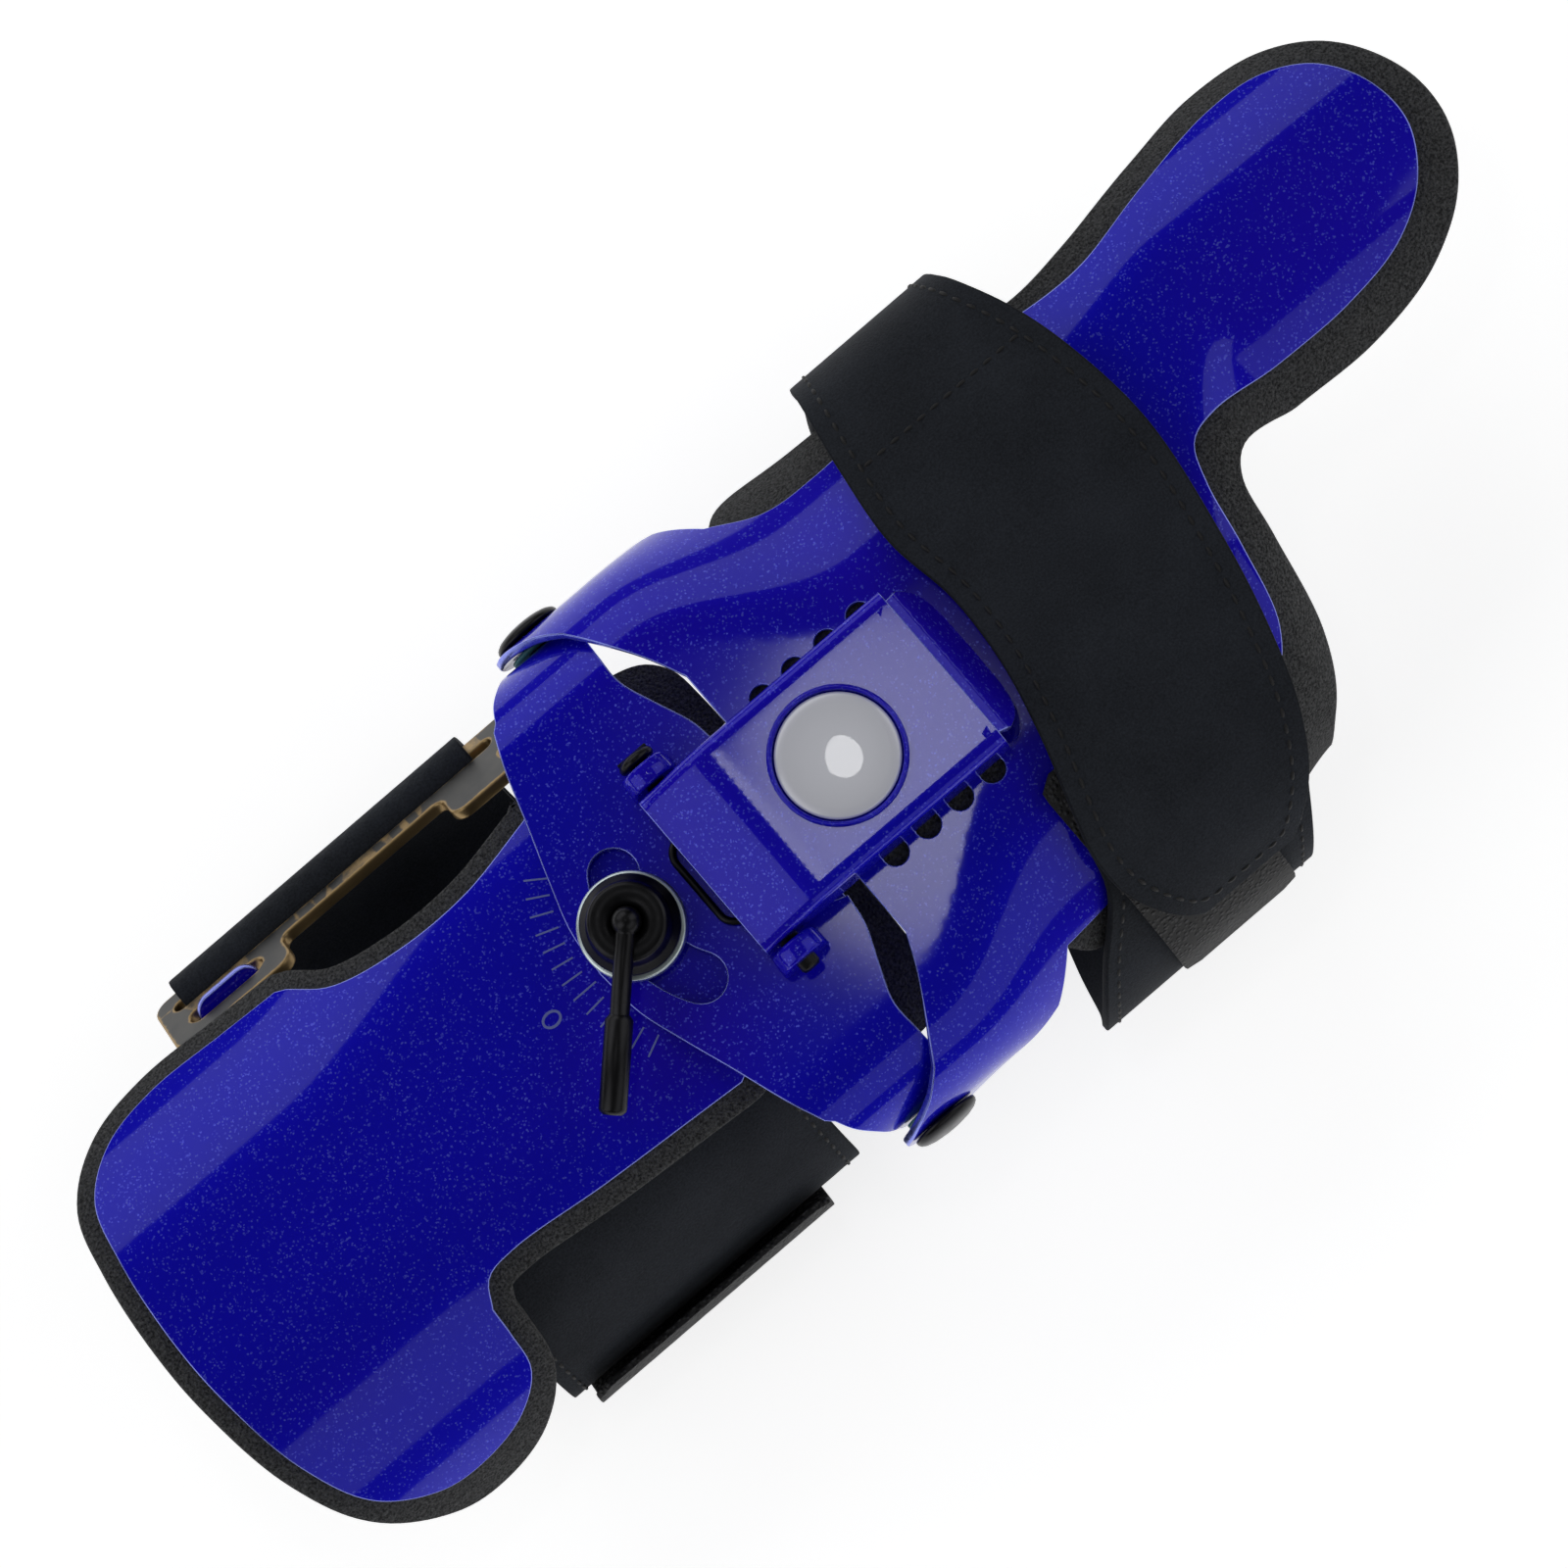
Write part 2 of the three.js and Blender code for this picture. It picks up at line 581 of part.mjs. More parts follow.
function wristBracket() {
  const wrap = { degrees: 90, steps: 8, straight: 16 };
  const slab = formSlab(bracketForm, [-BRACKET_REACH - 4, 16], wrap, 0, SHEET);
  const front = smoothRun(bracketFront, BRACKET_REACH, BRACKET_HALF_WIDTH, 3);
  const frontLeft = front.map((point) => new THREE.Vector2(point.x, -point.y)).reverse();
  const outline = [
    ...smoothRun(bracketRear, BRACKET_REACH, BRACKET_HALF_WIDTH, 2),
    ...front,
    new THREE.Vector2(COVER_STEP, -COVER_HALF_WIDTH + 1),
    new THREE.Vector2(COVER_STEP, COVER_HALF_WIDTH - 1),
    ...frontLeft,
  ];
  const tongue = sidePrism(earTongue(BRACKET_EAR_RADIUS, -12, 4.6, -4), -80, 80);
  const slotInner = SLOT_RADIUS - SLOT_HALF_WIDTH;
  const slotOuter = SLOT_RADIUS + SLOT_HALF_WIDTH;
  const low = 180 - SLOT_HALF_ANGLE;
  const high = 180 + SLOT_HALF_ANGLE;
  const endCentre = (angle) => [SLOT_RADIUS * Math.cos(rad(angle)), SLOT_RADIUS * Math.sin(rad(angle))];
  const slot = prism([
    ...arcRun(0, 0, slotOuter, low, high, 14),
    ...arcRun(...endCentre(high), SLOT_HALF_WIDTH, high, high + 180, 8).slice(1, -1),
    ...arcRun(0, 0, slotInner, high, low, 12),
    ...arcRun(...endCentre(low), SLOT_HALF_WIDTH, low - 180, low, 8).slice(1, -1),
  ], -10, 10);
  const knuckles = [1, -1].map((side) => knuckle(side));
  return cut(
    joined(slab.intersect(prism(outline, -60, 20)).intersect(tongue), ...knuckles),
    slot,
    solidOf(rod(PIVOT_RADIUS + FIT, -10, 5)),
    solidOf(moved(rodAlongY(RIVET_SHANK_RADIUS + FIT, -80, 80), HINGE_X, 0, -HINGE_DROP)),
    solidOf(moved(rodAlongY(PIN_RADIUS + FIT, -40, 40), HINGE_X, 0, PIN_HEIGHT)),
  );
}

// A standing knuckle beside the cover, with its round head about the latch pin
function knuckle(side) {
  const inner = COVER_HALF_WIDTH + 2 * FIT + 0.3;
  const outline = [
    new THREE.Vector2(HINGE_X - EAR_OUTER_RADIUS, -SHEET / 2),
    new THREE.Vector2(HINGE_X + EAR_OUTER_RADIUS, -SHEET / 2),
    ...arcRun(HINGE_X, PIN_HEIGHT, EAR_OUTER_RADIUS, 0, 180, 13),
  ];
  const low = side > 0 ? inner : -inner - EAR_WIDTH;
  return sidePrism(outline, low, low + EAR_WIDTH);
}

// The hand plate with its swept side arms and the index finger extension
const handOuterLeft = [
  { x: 0.14, y: 1.24 }, { x: 0.155, y: 1.1 }, { x: 0.19, y: 0.995 }, { x: 0.245, y: 0.895 },
  { x: 0.31, y: 0.875 }, { x: 0.46, y: 0.9 }, { x: 0.57, y: 0.83 }, { x: 0.65, y: 0.82 }, { x: 0.75, y: 0.9 },
  { x: 0.85, y: 0.965 }, { x: 0.915, y: 0.95 }, { x: 0.965, y: 0.85 }, { x: 0.995, y: 0.665 },
  { x: 0.998, y: 0.46 }, { x: 0.965, y: 0.27 }, { x: 0.91, y: 0.15 }, { x: 0.83, y: 0.095 },
  { x: 0.74, y: 0.09 },
  { x: 0.655, y: 0.1 }, { x: 0.62, y: 0.06 }, { x: 0.602, y: -0.08 }, { x: 0.588, y: -0.33 },
  { x: 0.565, y: -0.62 }, { x: 0.52, y: -0.78 }, { x: 0.42, y: -0.91 }, { x: 0.3, y: -0.95 },
  { x: 0.2, y: -0.985 },
  { x: 0.155, y: -1.1 }, { x: 0.14, y: -1.24 },
];
const handRearRight = [
  { x: -0.1, y: -1.26 }, { x: -0.02, y: -1.12 }, { x: 0.012, y: -1.02 }, { x: 0.034, y: -0.9 },
  { x: 0.062, y: -0.73 }, { x: 0.079, y: -0.6 },
];

function handOutline() {
  const rear = smoothRun(handRearRight, HAND_REACH, HAND_HALF_WIDTH, 3);
  const rearLeft = rear.map((point) => new THREE.Vector2(point.x, -point.y)).reverse();
  const outer = smoothRun(handOuterLeft, HAND_REACH, HAND_HALF_WIDTH, 2);
  const notchHalf = COVER_HALF_WIDTH - 2.6;
  const throat = rear[rear.length - 1].x;
  return [
    ...outer,
    ...rear,
    new THREE.Vector2(throat, -COVER_HALF_WIDTH + 1),
    new THREE.Vector2(throat + 2, -notchHalf),
    new THREE.Vector2(throat + 11, -notchHalf + 3),
    new THREE.Vector2(throat + 11, notchHalf - 3),
    new THREE.Vector2(throat + 2, notchHalf),
    new THREE.Vector2(throat, COVER_HALF_WIDTH - 1),
    ...rearLeft,
  ];
}

const palmStations = [28, 37, 46, 62, 76, 90, 96, 99, 101, 103, 106, 111, 118, 130, 142, 154];
const handStations = [-14, 10, 19, ...palmStations, HAND_PAD_REACH + 4];

function handPlate() {
  const wrap = { degrees: 90, steps: 8, straight: 16 };
  const slab = formSlab(handForm, handStations, wrap, 0, SHEET);
  const side = sidePrism([
    new THREE.Vector2(-90, 20),
    new THREE.Vector2(-90, -8),
    new THREE.Vector2(HINGE_X - HAND_EAR_RADIUS, -10),
    ...arcRun(HINGE_X, -HINGE_DROP, HAND_EAR_RADIUS, 180, 320, 12),
    new THREE.Vector2(18, -13.5),
    new THREE.Vector2(28, -13),
    new THREE.Vector2(46, -40),
    new THREE.Vector2(200, -60),
    new THREE.Vector2(200, 20),
  ], -80, 80);
  const holes = [];
  for (let i = 0; i < HOLE_COUNT; i += 1) {
    [1, -1].forEach((way) => {
      const along = HOLE_START + i * HOLE_PITCH;
      holes.push(solidOf(moved(rod(HOLE_RADIUS, -20, 20, 16), along, way * HOLE_OFFSET, 0)));
    });
  }
  return cut(
    slab.intersect(prism(handOutline(), -60, 20)).intersect(side),
    solidOf(moved(rodAlongY(RIVET_SHANK_RADIUS + FIT, -80, 80), HINGE_X, 0, -HINGE_DROP)),
    ...holes,
  );
}

// The hand pad's outline, shares of its own reach and half width
const handPadOutline = [
  { x: 0.104, y: 0.43 }, { x: 0.145, y: 0.5 }, { x: 0.165, y: 0.62 }, { x: 0.172, y: 0.86 }, { x: 0.2, y: 0.985 },
  { x: 0.3, y: 0.985 },
  { x: 0.44, y: 0.95 },
  { x: 0.545, y: 0.86 },
  { x: 0.63, y: 0.885 }, { x: 0.73, y: 0.96 }, { x: 0.82, y: 1.015 }, { x: 0.9, y: 0.98 },
  { x: 0.962, y: 0.83 },
  { x: 0.998, y: 0.55 }, { x: 0.992, y: 0.33 }, { x: 0.955, y: 0.14 }, { x: 0.89, y: 0.01 },
  { x: 0.8, y: -0.05 },
  { x: 0.7, y: -0.05 }, { x: 0.635, y: -0.05 }, { x: 0.612, y: -0.13 }, { x: 0.6, y: -0.34 },
  { x: 0.578, y: -0.68 }, { x: 0.54, y: -0.88 }, { x: 0.48, y: -0.985 }, { x: 0.36, y: -0.985 },
  { x: 0.24, y: -0.985 }, { x: 0.2, y: -0.985 }, { x: 0.172, y: -0.86 }, { x: 0.165, y: -0.62 },
  { x: 0.145, y: -0.5 }, { x: 0.104, y: -0.43 },
];

const handPadStations = [14, 24, ...palmStations, 160, 165, HAND_PAD_REACH + 4];

function handPad() {
  const lift = -SHEET - FIT;
  const wrap = { degrees: 90, steps: 6, straight: 0 };
  const outline = smoothRun(handPadOutline, HAND_PAD_REACH, HAND_PAD_HALF_WIDTH, 2);
  const slab = formSlab(handForm, handPadStations, wrap, lift, PAD_THICKNESS, outline);
  const skived = box(0, 26.5, -28, 28, -60, HAND_RISE + lift - 3.5);
  return cut(slab.intersect(prism(widened(outline, 0.4), -60, 20)), skived);
}

// The latch cover: a channel with a low rear, a bend and a rounded lifting lip
function latchCover() {
  const floor = HAND_RISE + 0.5;
  const outer = [
    new THREE.Vector2(COVER_REAR, floor),
    new THREE.Vector2(COVER_LENGTH - 1, floor),
    new THREE.Vector2(COVER_LENGTH + 0.6, COVER_TOP - 3.4),
    new THREE.Vector2(COVER_TIP - 0.6, floor + 2.4),
    new THREE.Vector2(COVER_TIP, floor + 3.4),
    new THREE.Vector2(COVER_LENGTH + 2, COVER_TOP - 1.2),
    new THREE.Vector2(COVER_LENGTH, COVER_TOP),
    new THREE.Vector2(COVER_STEP, COVER_TOP),
    new THREE.Vector2(COVER_REAR + 0.8, COVER_REAR_TOP + 0.4),
    new THREE.Vector2(COVER_REAR, COVER_REAR_TOP - 0.6),
  ];
  const inner = [
    new THREE.Vector2(COVER_REAR - 2, floor - 2),
    new THREE.Vector2(COVER_LENGTH - COVER_SHEET - 1, floor - 2),
    new THREE.Vector2(COVER_LENGTH - COVER_SHEET - 0.5, COVER_TOP - COVER_SHEET),
    new THREE.Vector2(COVER_STEP, COVER_TOP - COVER_SHEET),
    new THREE.Vector2(COVER_REAR + COVER_SHEET, COVER_REAR_TOP - COVER_SHEET),
    new THREE.Vector2(COVER_REAR + COVER_SHEET, floor + 2),
    new THREE.Vector2(COVER_REAR - 2, floor + 2),
  ];
  const half = COVER_HALF_WIDTH;
  const plan = [
    new THREE.Vector2(COVER_REAR - 1, -half),
    new THREE.Vector2(COVER_LENGTH, -half),
    ...smoothRun([
      { x: 1, y: -0.93 }, { x: 1.09, y: -0.82 }, { x: 1.145, y: -0.6 }, { x: 1.155, y: 0 },
      { x: 1.145, y: 0.6 },
      { x: 1.09, y: 0.82 }, { x: 1, y: 0.93 },
    ], COVER_LENGTH, half, 4),
    new THREE.Vector2(COVER_LENGTH, half),
    new THREE.Vector2(COVER_REAR - 1, half),
  ];
  const ringProfile = [
    [BADGE_RADIUS, -0.3], [BADGE_RADIUS + 1.2, -0.3], [BADGE_RADIUS + 1.1, 0.45], [BADGE_RADIUS + 0.7, 0.7],
    [BADGE_RADIUS, 0.6], [BADGE_RADIUS, -0.3],
  ];
  return cut(
    joined(
      cut(
        sidePrism(outer, -half, half).intersect(prism(plan, -20, 40)),
        sidePrism(inner, -half + COVER_SHEET, half - COVER_SHEET),
      ),
      solidOf(moved(turned(ringProfile, 36), BADGE_X, 0, COVER_TOP)),
    ),
    solidOf(moved(rod(BADGE_RADIUS + FIT, COVER_TOP - BADGE_POCKET, COVER_TOP + 3, 36), BADGE_X, 0, 0)),
    solidOf(moved(rodAlongY(PIN_RADIUS + FIT, -40, 40), HINGE_X, 0, PIN_HEIGHT)),
  );
}

function badgeDisc() {
  const low = COVER_TOP - BADGE_POCKET + FIT / 2;
  const rim = low + 0.7;
  const profile = [[0, low], [BADGE_RADIUS, low], [BADGE_RADIUS, rim]];
  const dome = low + BADGE_HEIGHT;
  profile.push([BADGE_RADIUS * 0.93, rim + (dome - rim) * 0.55], [BADGE_RADIUS * 0.6, dome - 0.1], [0, dome]);
  return moved(turned(profile, 36), BADGE_X, 0, 0);
}

function latchPin() {
  const end = COVER_HALF_WIDTH + EAR_WIDTH + 3 * FIT + 0.6;
  const profile = [
    [0, -end - 1.2], [PIN_RADIUS - 0.3, -end - 1.2], [PIN_RADIUS, -end - 0.8], [PIN_RADIUS, end],
    [PIN_RADIUS + 1.3, end], [PIN_RADIUS + 1.5, end + 0.5], [PIN_RADIUS + 0.9, end + 1.7], [0, end + 1.9],
  ];
  const screw = solidOf(moved(turned(profile, 16, 'y'), HINGE_X, 0, PIN_HEIGHT));
  return cut(screw, box(HINGE_X - 4, HINGE_X + 4, end + 1.1, end + 4, PIN_HEIGHT - 0.4, PIN_HEIGHT + 0.4));
}

// The wire spring: a cross leg behind the cover and two short legs that run in under it
function latchWire() {
  const rear = COVER_REAR - 1.8;
  const half = 8.5;
  const height = WIRE_RADIUS + FIT;
  const corner = 3;
  const legEnd = COVER_REAR + 1.9;
  const route = new THREE.CurvePath();
  const points = [
    new THREE.Vector3(legEnd, half, height),
    new THREE.Vector3(rear + corner, half, height),
    new THREE.Vector3(rear, half - corner, height),
    new THREE.Vector3(rear, -half + corner, height),
    new THREE.Vector3(rear + corner, -half, height),
    new THREE.Vector3(legEnd, -half, height),
  ];
  route.add(new THREE.LineCurve3(points[0], points[1]));
  route.add(new THREE.QuadraticBezierCurve3(points[1], new THREE.Vector3(rear, half, height), points[2]));
  route.add(new THREE.LineCurve3(points[2], points[3]));
  route.add(new THREE.QuadraticBezierCurve3(points[3], new THREE.Vector3(rear, -half, height), points[4]));
  route.add(new THREE.LineCurve3(points[4], points[5]));
  const section = new THREE.Shape(arcRun(0, 0, WIRE_RADIUS, 0, 300, 6));
  return new THREE.ExtrudeGeometry(section, { steps: 28, extrudePath: route, bevelEnabled: false });
}

// The pivot rivet: a low head, a shank, a shoulder between the plates and a foot in the foam's pocket
function lateralPivot() {
  const shoulderTop = -SHEET - FIT;
  const shoulderLow = -FOREARM_DROP + FIT;
  const foot = -FOREARM_DROP - SHEET - FIT;
  return turned([
    [0, foot - 1.1], [PIVOT_HEAD_RADIUS, foot - 1.1], [PIVOT_HEAD_RADIUS, foot], [PIVOT_RADIUS, foot],
    [PIVOT_RADIUS, shoulderLow], [PIVOT_RADIUS + 4, shoulderLow], [PIVOT_RADIUS + 4, shoulderTop],
    [PIVOT_RADIUS, shoulderTop], [PIVOT_RADIUS, FIT], [PIVOT_HEAD_RADIUS - 0.5, FIT],
    [PIVOT_HEAD_RADIUS - 1, 1.3], [PIVOT_HEAD_RADIUS - 2.4, 1.9], [0, 2.1],
  ], 22);
}

function boltPlace() {
  return new THREE.Vector2(SLOT_RADIUS * Math.cos(rad(BOLT_ANGLE)), SLOT_RADIUS * Math.sin(rad(BOLT_ANGLE)));
}

const WASHER_LOW = FIT;
const KNOB_LOW = WASHER_LOW + CLAMP_WASHER_HEIGHT + FIT;
const KNOB_TOP = KNOB_LOW + KNOB_HEIGHT;
const BALL_HEIGHT = KNOB_TOP + 0.6;
const BOLT_TOP = KNOB_LOW + 2.6;

function clampBolt() {
  const foot = -FOREARM_DROP - SHEET - FIT;
  return turned([
    [0, foot - 1.1], [BOLT_RADIUS + 2.4, foot - 1.1], [BOLT_RADIUS + 2.4, foot], [BOLT_RADIUS, foot],
    [BOLT_RADIUS, BOLT_TOP - 0.5], [BOLT_RADIUS - 0.5, BOLT_TOP], [0, BOLT_TOP],
  ], 20);
}

function clampWasher() {
  const hole = BOLT_RADIUS + FIT;
  return turned([
    [hole, WASHER_LOW], [CLAMP_WASHER_RADIUS, WASHER_LOW],
    [CLAMP_WASHER_RADIUS, WASHER_LOW + CLAMP_WASHER_HEIGHT - 0.4],
    [CLAMP_WASHER_RADIUS - 0.4, WASHER_LOW + CLAMP_WASHER_HEIGHT],
    [hole, WASHER_LOW + CLAMP_WASHER_HEIGHT], [hole, WASHER_LOW],
  ], 28);
}

function clampKnob() {
  const body = solidOf(turned([
    [0, KNOB_LOW], [KNOB_RADIUS, KNOB_LOW], [KNOB_RADIUS, KNOB_LOW + 2], [KNOB_RADIUS - 0.5, KNOB_LOW + 2.6],
    [KNOB_FACE_RADIUS + 1.3, KNOB_LOW + 3.2], [KNOB_FACE_RADIUS + 0.8, KNOB_TOP - 0.5],
    [KNOB_FACE_RADIUS, KNOB_TOP], [0, KNOB_TOP],
  ], 28));
  const seat = new THREE.SphereGeometry(LEVER_BALL_RADIUS + FIT, 16, 8);
  const turn = new THREE.Matrix4().makeRotationZ(rad(LEVER_ANGLE));
  const slot = box(0, KNOB_RADIUS + 2, -LEVER_ROD_RADIUS - FIT, LEVER_ROD_RADIUS + FIT,
    BALL_HEIGHT - LEVER_ROD_RADIUS - 2 * FIT - 0.9, KNOB_TOP + 5).transform([...turn.elements]);
  return cut(
    body,
    slot,
    solidOf(moved(seat, 0, 0, BALL_HEIGHT)),
    solidOf(rod(LEVER_BALL_RADIUS + FIT, BALL_HEIGHT, KNOB_TOP + 5, 16)),
    solidOf(rod(BOLT_RADIUS + FIT, KNOB_LOW - 2, BOLT_TOP + FIT)),
  );
}

// The lever lies along +X from its ball before it is turned and tipped into place
const LEVER_TIP_DROP = 3;
function clampLever() {
  const gripStart = LEVER_LENGTH * 0.5;
  const profile = [
    [0, 0], [LEVER_ROD_RADIUS, 0], [LEVER_ROD_RADIUS, gripStart - 0.8], [LEVER_GRIP_RADIUS, gripStart],
    [LEVER_GRIP_RADIUS, LEVER_LENGTH - 0.8], [LEVER_GRIP_RADIUS - 0.8, LEVER_LENGTH], [0, LEVER_LENGTH]];
  const bar = solidOf(turned(profile, 12));
  const lever = joined(bar, solidOf(new THREE.SphereGeometry(LEVER_BALL_RADIUS, 14, 9)));
  const geometry = geometryOf(lever);
  geometry.rotateY(Math.PI / 2);
  return geometry;
}

function hingeRivet(side) {
  const handOuter = BRACKET_HALF_FLAT + HAND_ARM_BEND + FIT;
  const inner = BRACKET_HALF_FLAT + BRACKET_BEND - SHEET - FIT;
  const foot = RIVET_SHANK_RADIUS + 1.8;
  const profile = [
    [0, inner - 1.3], [foot, inner - 1.3], [foot, inner], [RIVET_SHANK_RADIUS, inner],
    [RIVET_SHANK_RADIUS, handOuter],
    [RIVET_HEAD_RADIUS, handOuter], [RIVET_HEAD_RADIUS, handOuter + 0.6],
    [RIVET_HEAD_RADIUS - 0.9, handOuter + 1.4],
    [RIVET_HEAD_RADIUS - 2.6, handOuter + RIVET_HEAD_HEIGHT - 0.2], [0, handOuter + RIVET_HEAD_HEIGHT],
  ];
  const geometry = turned(profile, 20, 'y');
  if (side < 0) {
    geometry.rotateZ(Math.PI);
  }
  return moved(geometry, HINGE_X, 0, -HINGE_DROP);
}

function hingeWasher(side) {
  const low = BRACKET_HALF_FLAT + BRACKET_BEND + (HINGE_GAP - HINGE_WASHER) / 2;
  const hole = RIVET_SHANK_RADIUS + FIT;
  const high = low + HINGE_WASHER;
  const outer = HINGE_WASHER_RADIUS;
  const profile = [[hole, low], [outer, low], [outer, high], [hole, high], [hole, low]];
  const geometry = turned(profile, 20, 'y');
  if (side < 0) {
    geometry.rotateZ(Math.PI);
  }
  return moved(geometry, HINGE_X, 0, -HINGE_DROP);
}

function buckle() {
  const length = BUCKLE_FRONT - BUCKLE_REAR;
  const corner = 3;
  const pad = 24.8;
  const front = 26;
  const round = (x, y, start) => arcRun(x, y, corner, start, start + 90, 5);
  const small = (x, y, from, to) => arcRun(x, y, 1.8, from, to, 5);
  const outline = [
    ...round(corner, corner, 180),
    ...round(pad - corner, corner, 270),
    ...small(pad + 1.8, BUCKLE_BAR_START - 1.8, 180, 90),
    ...small(length - front - 1.8, BUCKLE_BAR_START - 1.8, 90, 0),
    ...round(length - front + corner, corner, 180),
    ...round(length - corner, corner, 270),
    ...round(length - corner, BUCKLE_WIDTH - corner, 0),
    ...round(corner, BUCKLE_WIDTH - corner, 90),
  ];
  const stadium = (x0, x1, y0, y1) => {
    const r = (y1 - y0) / 2;
    return [...arcRun(x1 - r, y0 + r, r, -90, 90, 7), ...arcRun(x0 + r, y0 + r, r, 90, 270, 7)];
  };
  const holes = lugs.map((place) => {
    const from = place.start - BUCKLE_REAR - 1.2;
    return stadium(from, from + place.length + 2.4, LUG_STATION - 2, LUG_STATION + 2);
  });
  holes.push(stadium(3.4, 3.4 + BAND_WIDTH + 6, BAND_SLOT_START, BAND_SLOT_END));
  const plate = prism(outline, -BUCKLE_THICKNESS / 2, BUCKLE_THICKNESS / 2, holes);
  const geometry = geometryOf(plate);
  geometry.applyMatrix4(new THREE.Matrix4().makeBasis(
    new THREE.Vector3(1, 0, 0),
    new THREE.Vector3(0, buckleAlong.x, buckleAlong.y),
    new THREE.Vector3(0, buckleNormal.x, buckleNormal.y),
  ));
  return moved(geometry, BUCKLE_REAR, BUCKLE_Y, -BUCKLE_DROP);
}

// A band whose middle and width change along its route, lifted off that route along its outer normal
function sweptBand(rows, thickness, count, lift = 0) {
  const curve = new THREE.CatmullRomCurve3(
    rows.map((row) => new THREE.Vector3(row.y, row.z, 0)), false, 'centripetal');
  const sizes = new THREE.CatmullRomCurve3(
    rows.map((row, i) => new THREE.Vector3(row.middle, row.width, i)), false, 'centripetal');
  const lowest = Math.min(...rows.map((row) => row.z));
  const points = stationsBetween(0, 1, count).map((t) => curve.getPoint(t));
  points.forEach((point) => point.setY(Math.max(point.y, lowest)));
  const widths = stationsBetween(0, 1, count).map((t) => sizes.getPoint(t));
  return closedSheet(count, 2, (row, column, side) => {
    const before = points[Math.max(row - 1, 0)];
    const after = points[Math.min(row + 1, count - 1)];
    const direction = after.clone().sub(before).normalize();
    const reach = lift + (side === 0 ? thickness / 2 : -thickness / 2);
    const x = widths[row].x + (column === 0 ? -0.5 : 0.5) * widths[row].y;
    return new THREE.Vector3(x, points[row].x + direction.y * reach, points[row].y - direction.x * reach);
  });
}

// Band routes, chosen by hand: Y and Z of the middle layer, with the band's middle and width in X.
// The forearm band starts under the pad's right edge, goes round the forearm, up through the buckle's slot,
// over its rail and back round outside.
const TABLE = -CROWN_HEIGHT;
const OUTER_LOW = TABLE + STRAP_THICKNESS / 2;
const INNER_LOW = OUTER_LOW + STRAP_THICKNESS + TAPE_THICKNESS + 2 * FIT;
const bandSlot = (BAND_SLOT_START + BAND_SLOT_END) / 2;
const bandRow = (along, lift) => {
  const point = bucklePoint(along, lift);
  return { y: point.x, z: point.y, middle: BAND_FOLD, width: BAND_WIDTH };
};
const forearmBandRows = [
  { y: -16, z: -11.4, middle: -48.5, width: BAND_WIDTH },
  { y: -23, z: -14.8, middle: -48.5, width: BAND_WIDTH },
  { y: -32, z: -22.2, middle: -48.5, width: BAND_WIDTH },
  { y: -38.3, z: -31.3, middle: -48.5, width: BAND_WIDTH },
  { y: -42.3, z: -39.6, middle: -48.5, width: BAND_WIDTH },
  { y: -44.4, z: -48, middle: -48.5, width: BAND_WIDTH },
  { y: -42, z: -56, middle: -49, width: BAND_WIDTH },
  { y: -34, z: -61.4, middle: -49.5, width: BAND_WIDTH },
  { y: -22, z: INNER_LOW, middle: -50, width: BAND_WIDTH },
  { y: 0, z: INNER_LOW, middle: -51.5, width: BAND_WIDTH },
  { y: 22, z: INNER_LOW, middle: -53, width: BAND_WIDTH },
  { y: 34, z: -62, middle: -54, width: BAND_WIDTH },
  { y: 42, z: -56.6, middle: BAND_FOLD, width: BAND_WIDTH },
  { y: 46, z: -49, middle: BAND_FOLD, width: BAND_WIDTH },
  { y: 46.2, z: -41.5, middle: BAND_FOLD, width: BAND_WIDTH },
  bandRow(BUCKLE_WIDTH - 1.6, -4),
  bandRow(bandSlot + 0.3, -2.4),
  bandRow(bandSlot, 0),
  bandRow(bandSlot + 0.5, 2.3),
  bandRow(BUCKLE_WIDTH - 1.6, 3),
  bandRow(BUCKLE_WIDTH + 1.9, 1.4),
  { y: 50.9, z: -40, middle: BAND_FOLD, width: BAND_WIDTH },
  { y: 50.4, z: -49, middle: BAND_FOLD, width: BAND_WIDTH },
  { y: 46.5, z: -58.4, middle: BAND_FOLD, width: BAND_WIDTH },
  { y: 38, z: -65, middle: -54, width: BAND_WIDTH },
  { y: 26, z: OUTER_LOW, middle: -53, width: BAND_WIDTH },
  { y: 0, z: OUTER_LOW, middle: -51.5, width: BAND_WIDTH },
  { y: -22, z: OUTER_LOW, middle: -50, width: BAND_WIDTH },
  { y: -33, z: -66.2, middle: -49.5, width: BAND_WIDTH },
];

// The hook tape starts between the two layers and lies on the inner one's outside up to its free end
const tapeRows = [
  { y: -14, z: OUTER_LOW + STRAP_THICKNESS / 2 + TAPE_THICKNESS / 2 + FIT, middle: -51.3, width: TAPE_WIDTH },
  { y: -22, z: OUTER_LOW + STRAP_THICKNESS / 2 + TAPE_THICKNESS / 2 + FIT, middle: -51.3, width: TAPE_WIDTH },
  { y: -36, z: -62.8, middle: -51.3, width: TAPE_WIDTH },
  { y: -44, z: -57.4, middle: -51.3, width: TAPE_WIDTH },
  { y: -48.2, z: -49, middle: -51.3, width: TAPE_WIDTH },
  { y: -47.7, z: -42, middle: -51.3, width: TAPE_WIDTH },
];

function forearmStrap() {
  return sweptBand(forearmBandRows, STRAP_THICKNESS, 96);
}

function forearmTape() {
  return sweptBand(tapeRows, TAPE_THICKNESS, 20);
}

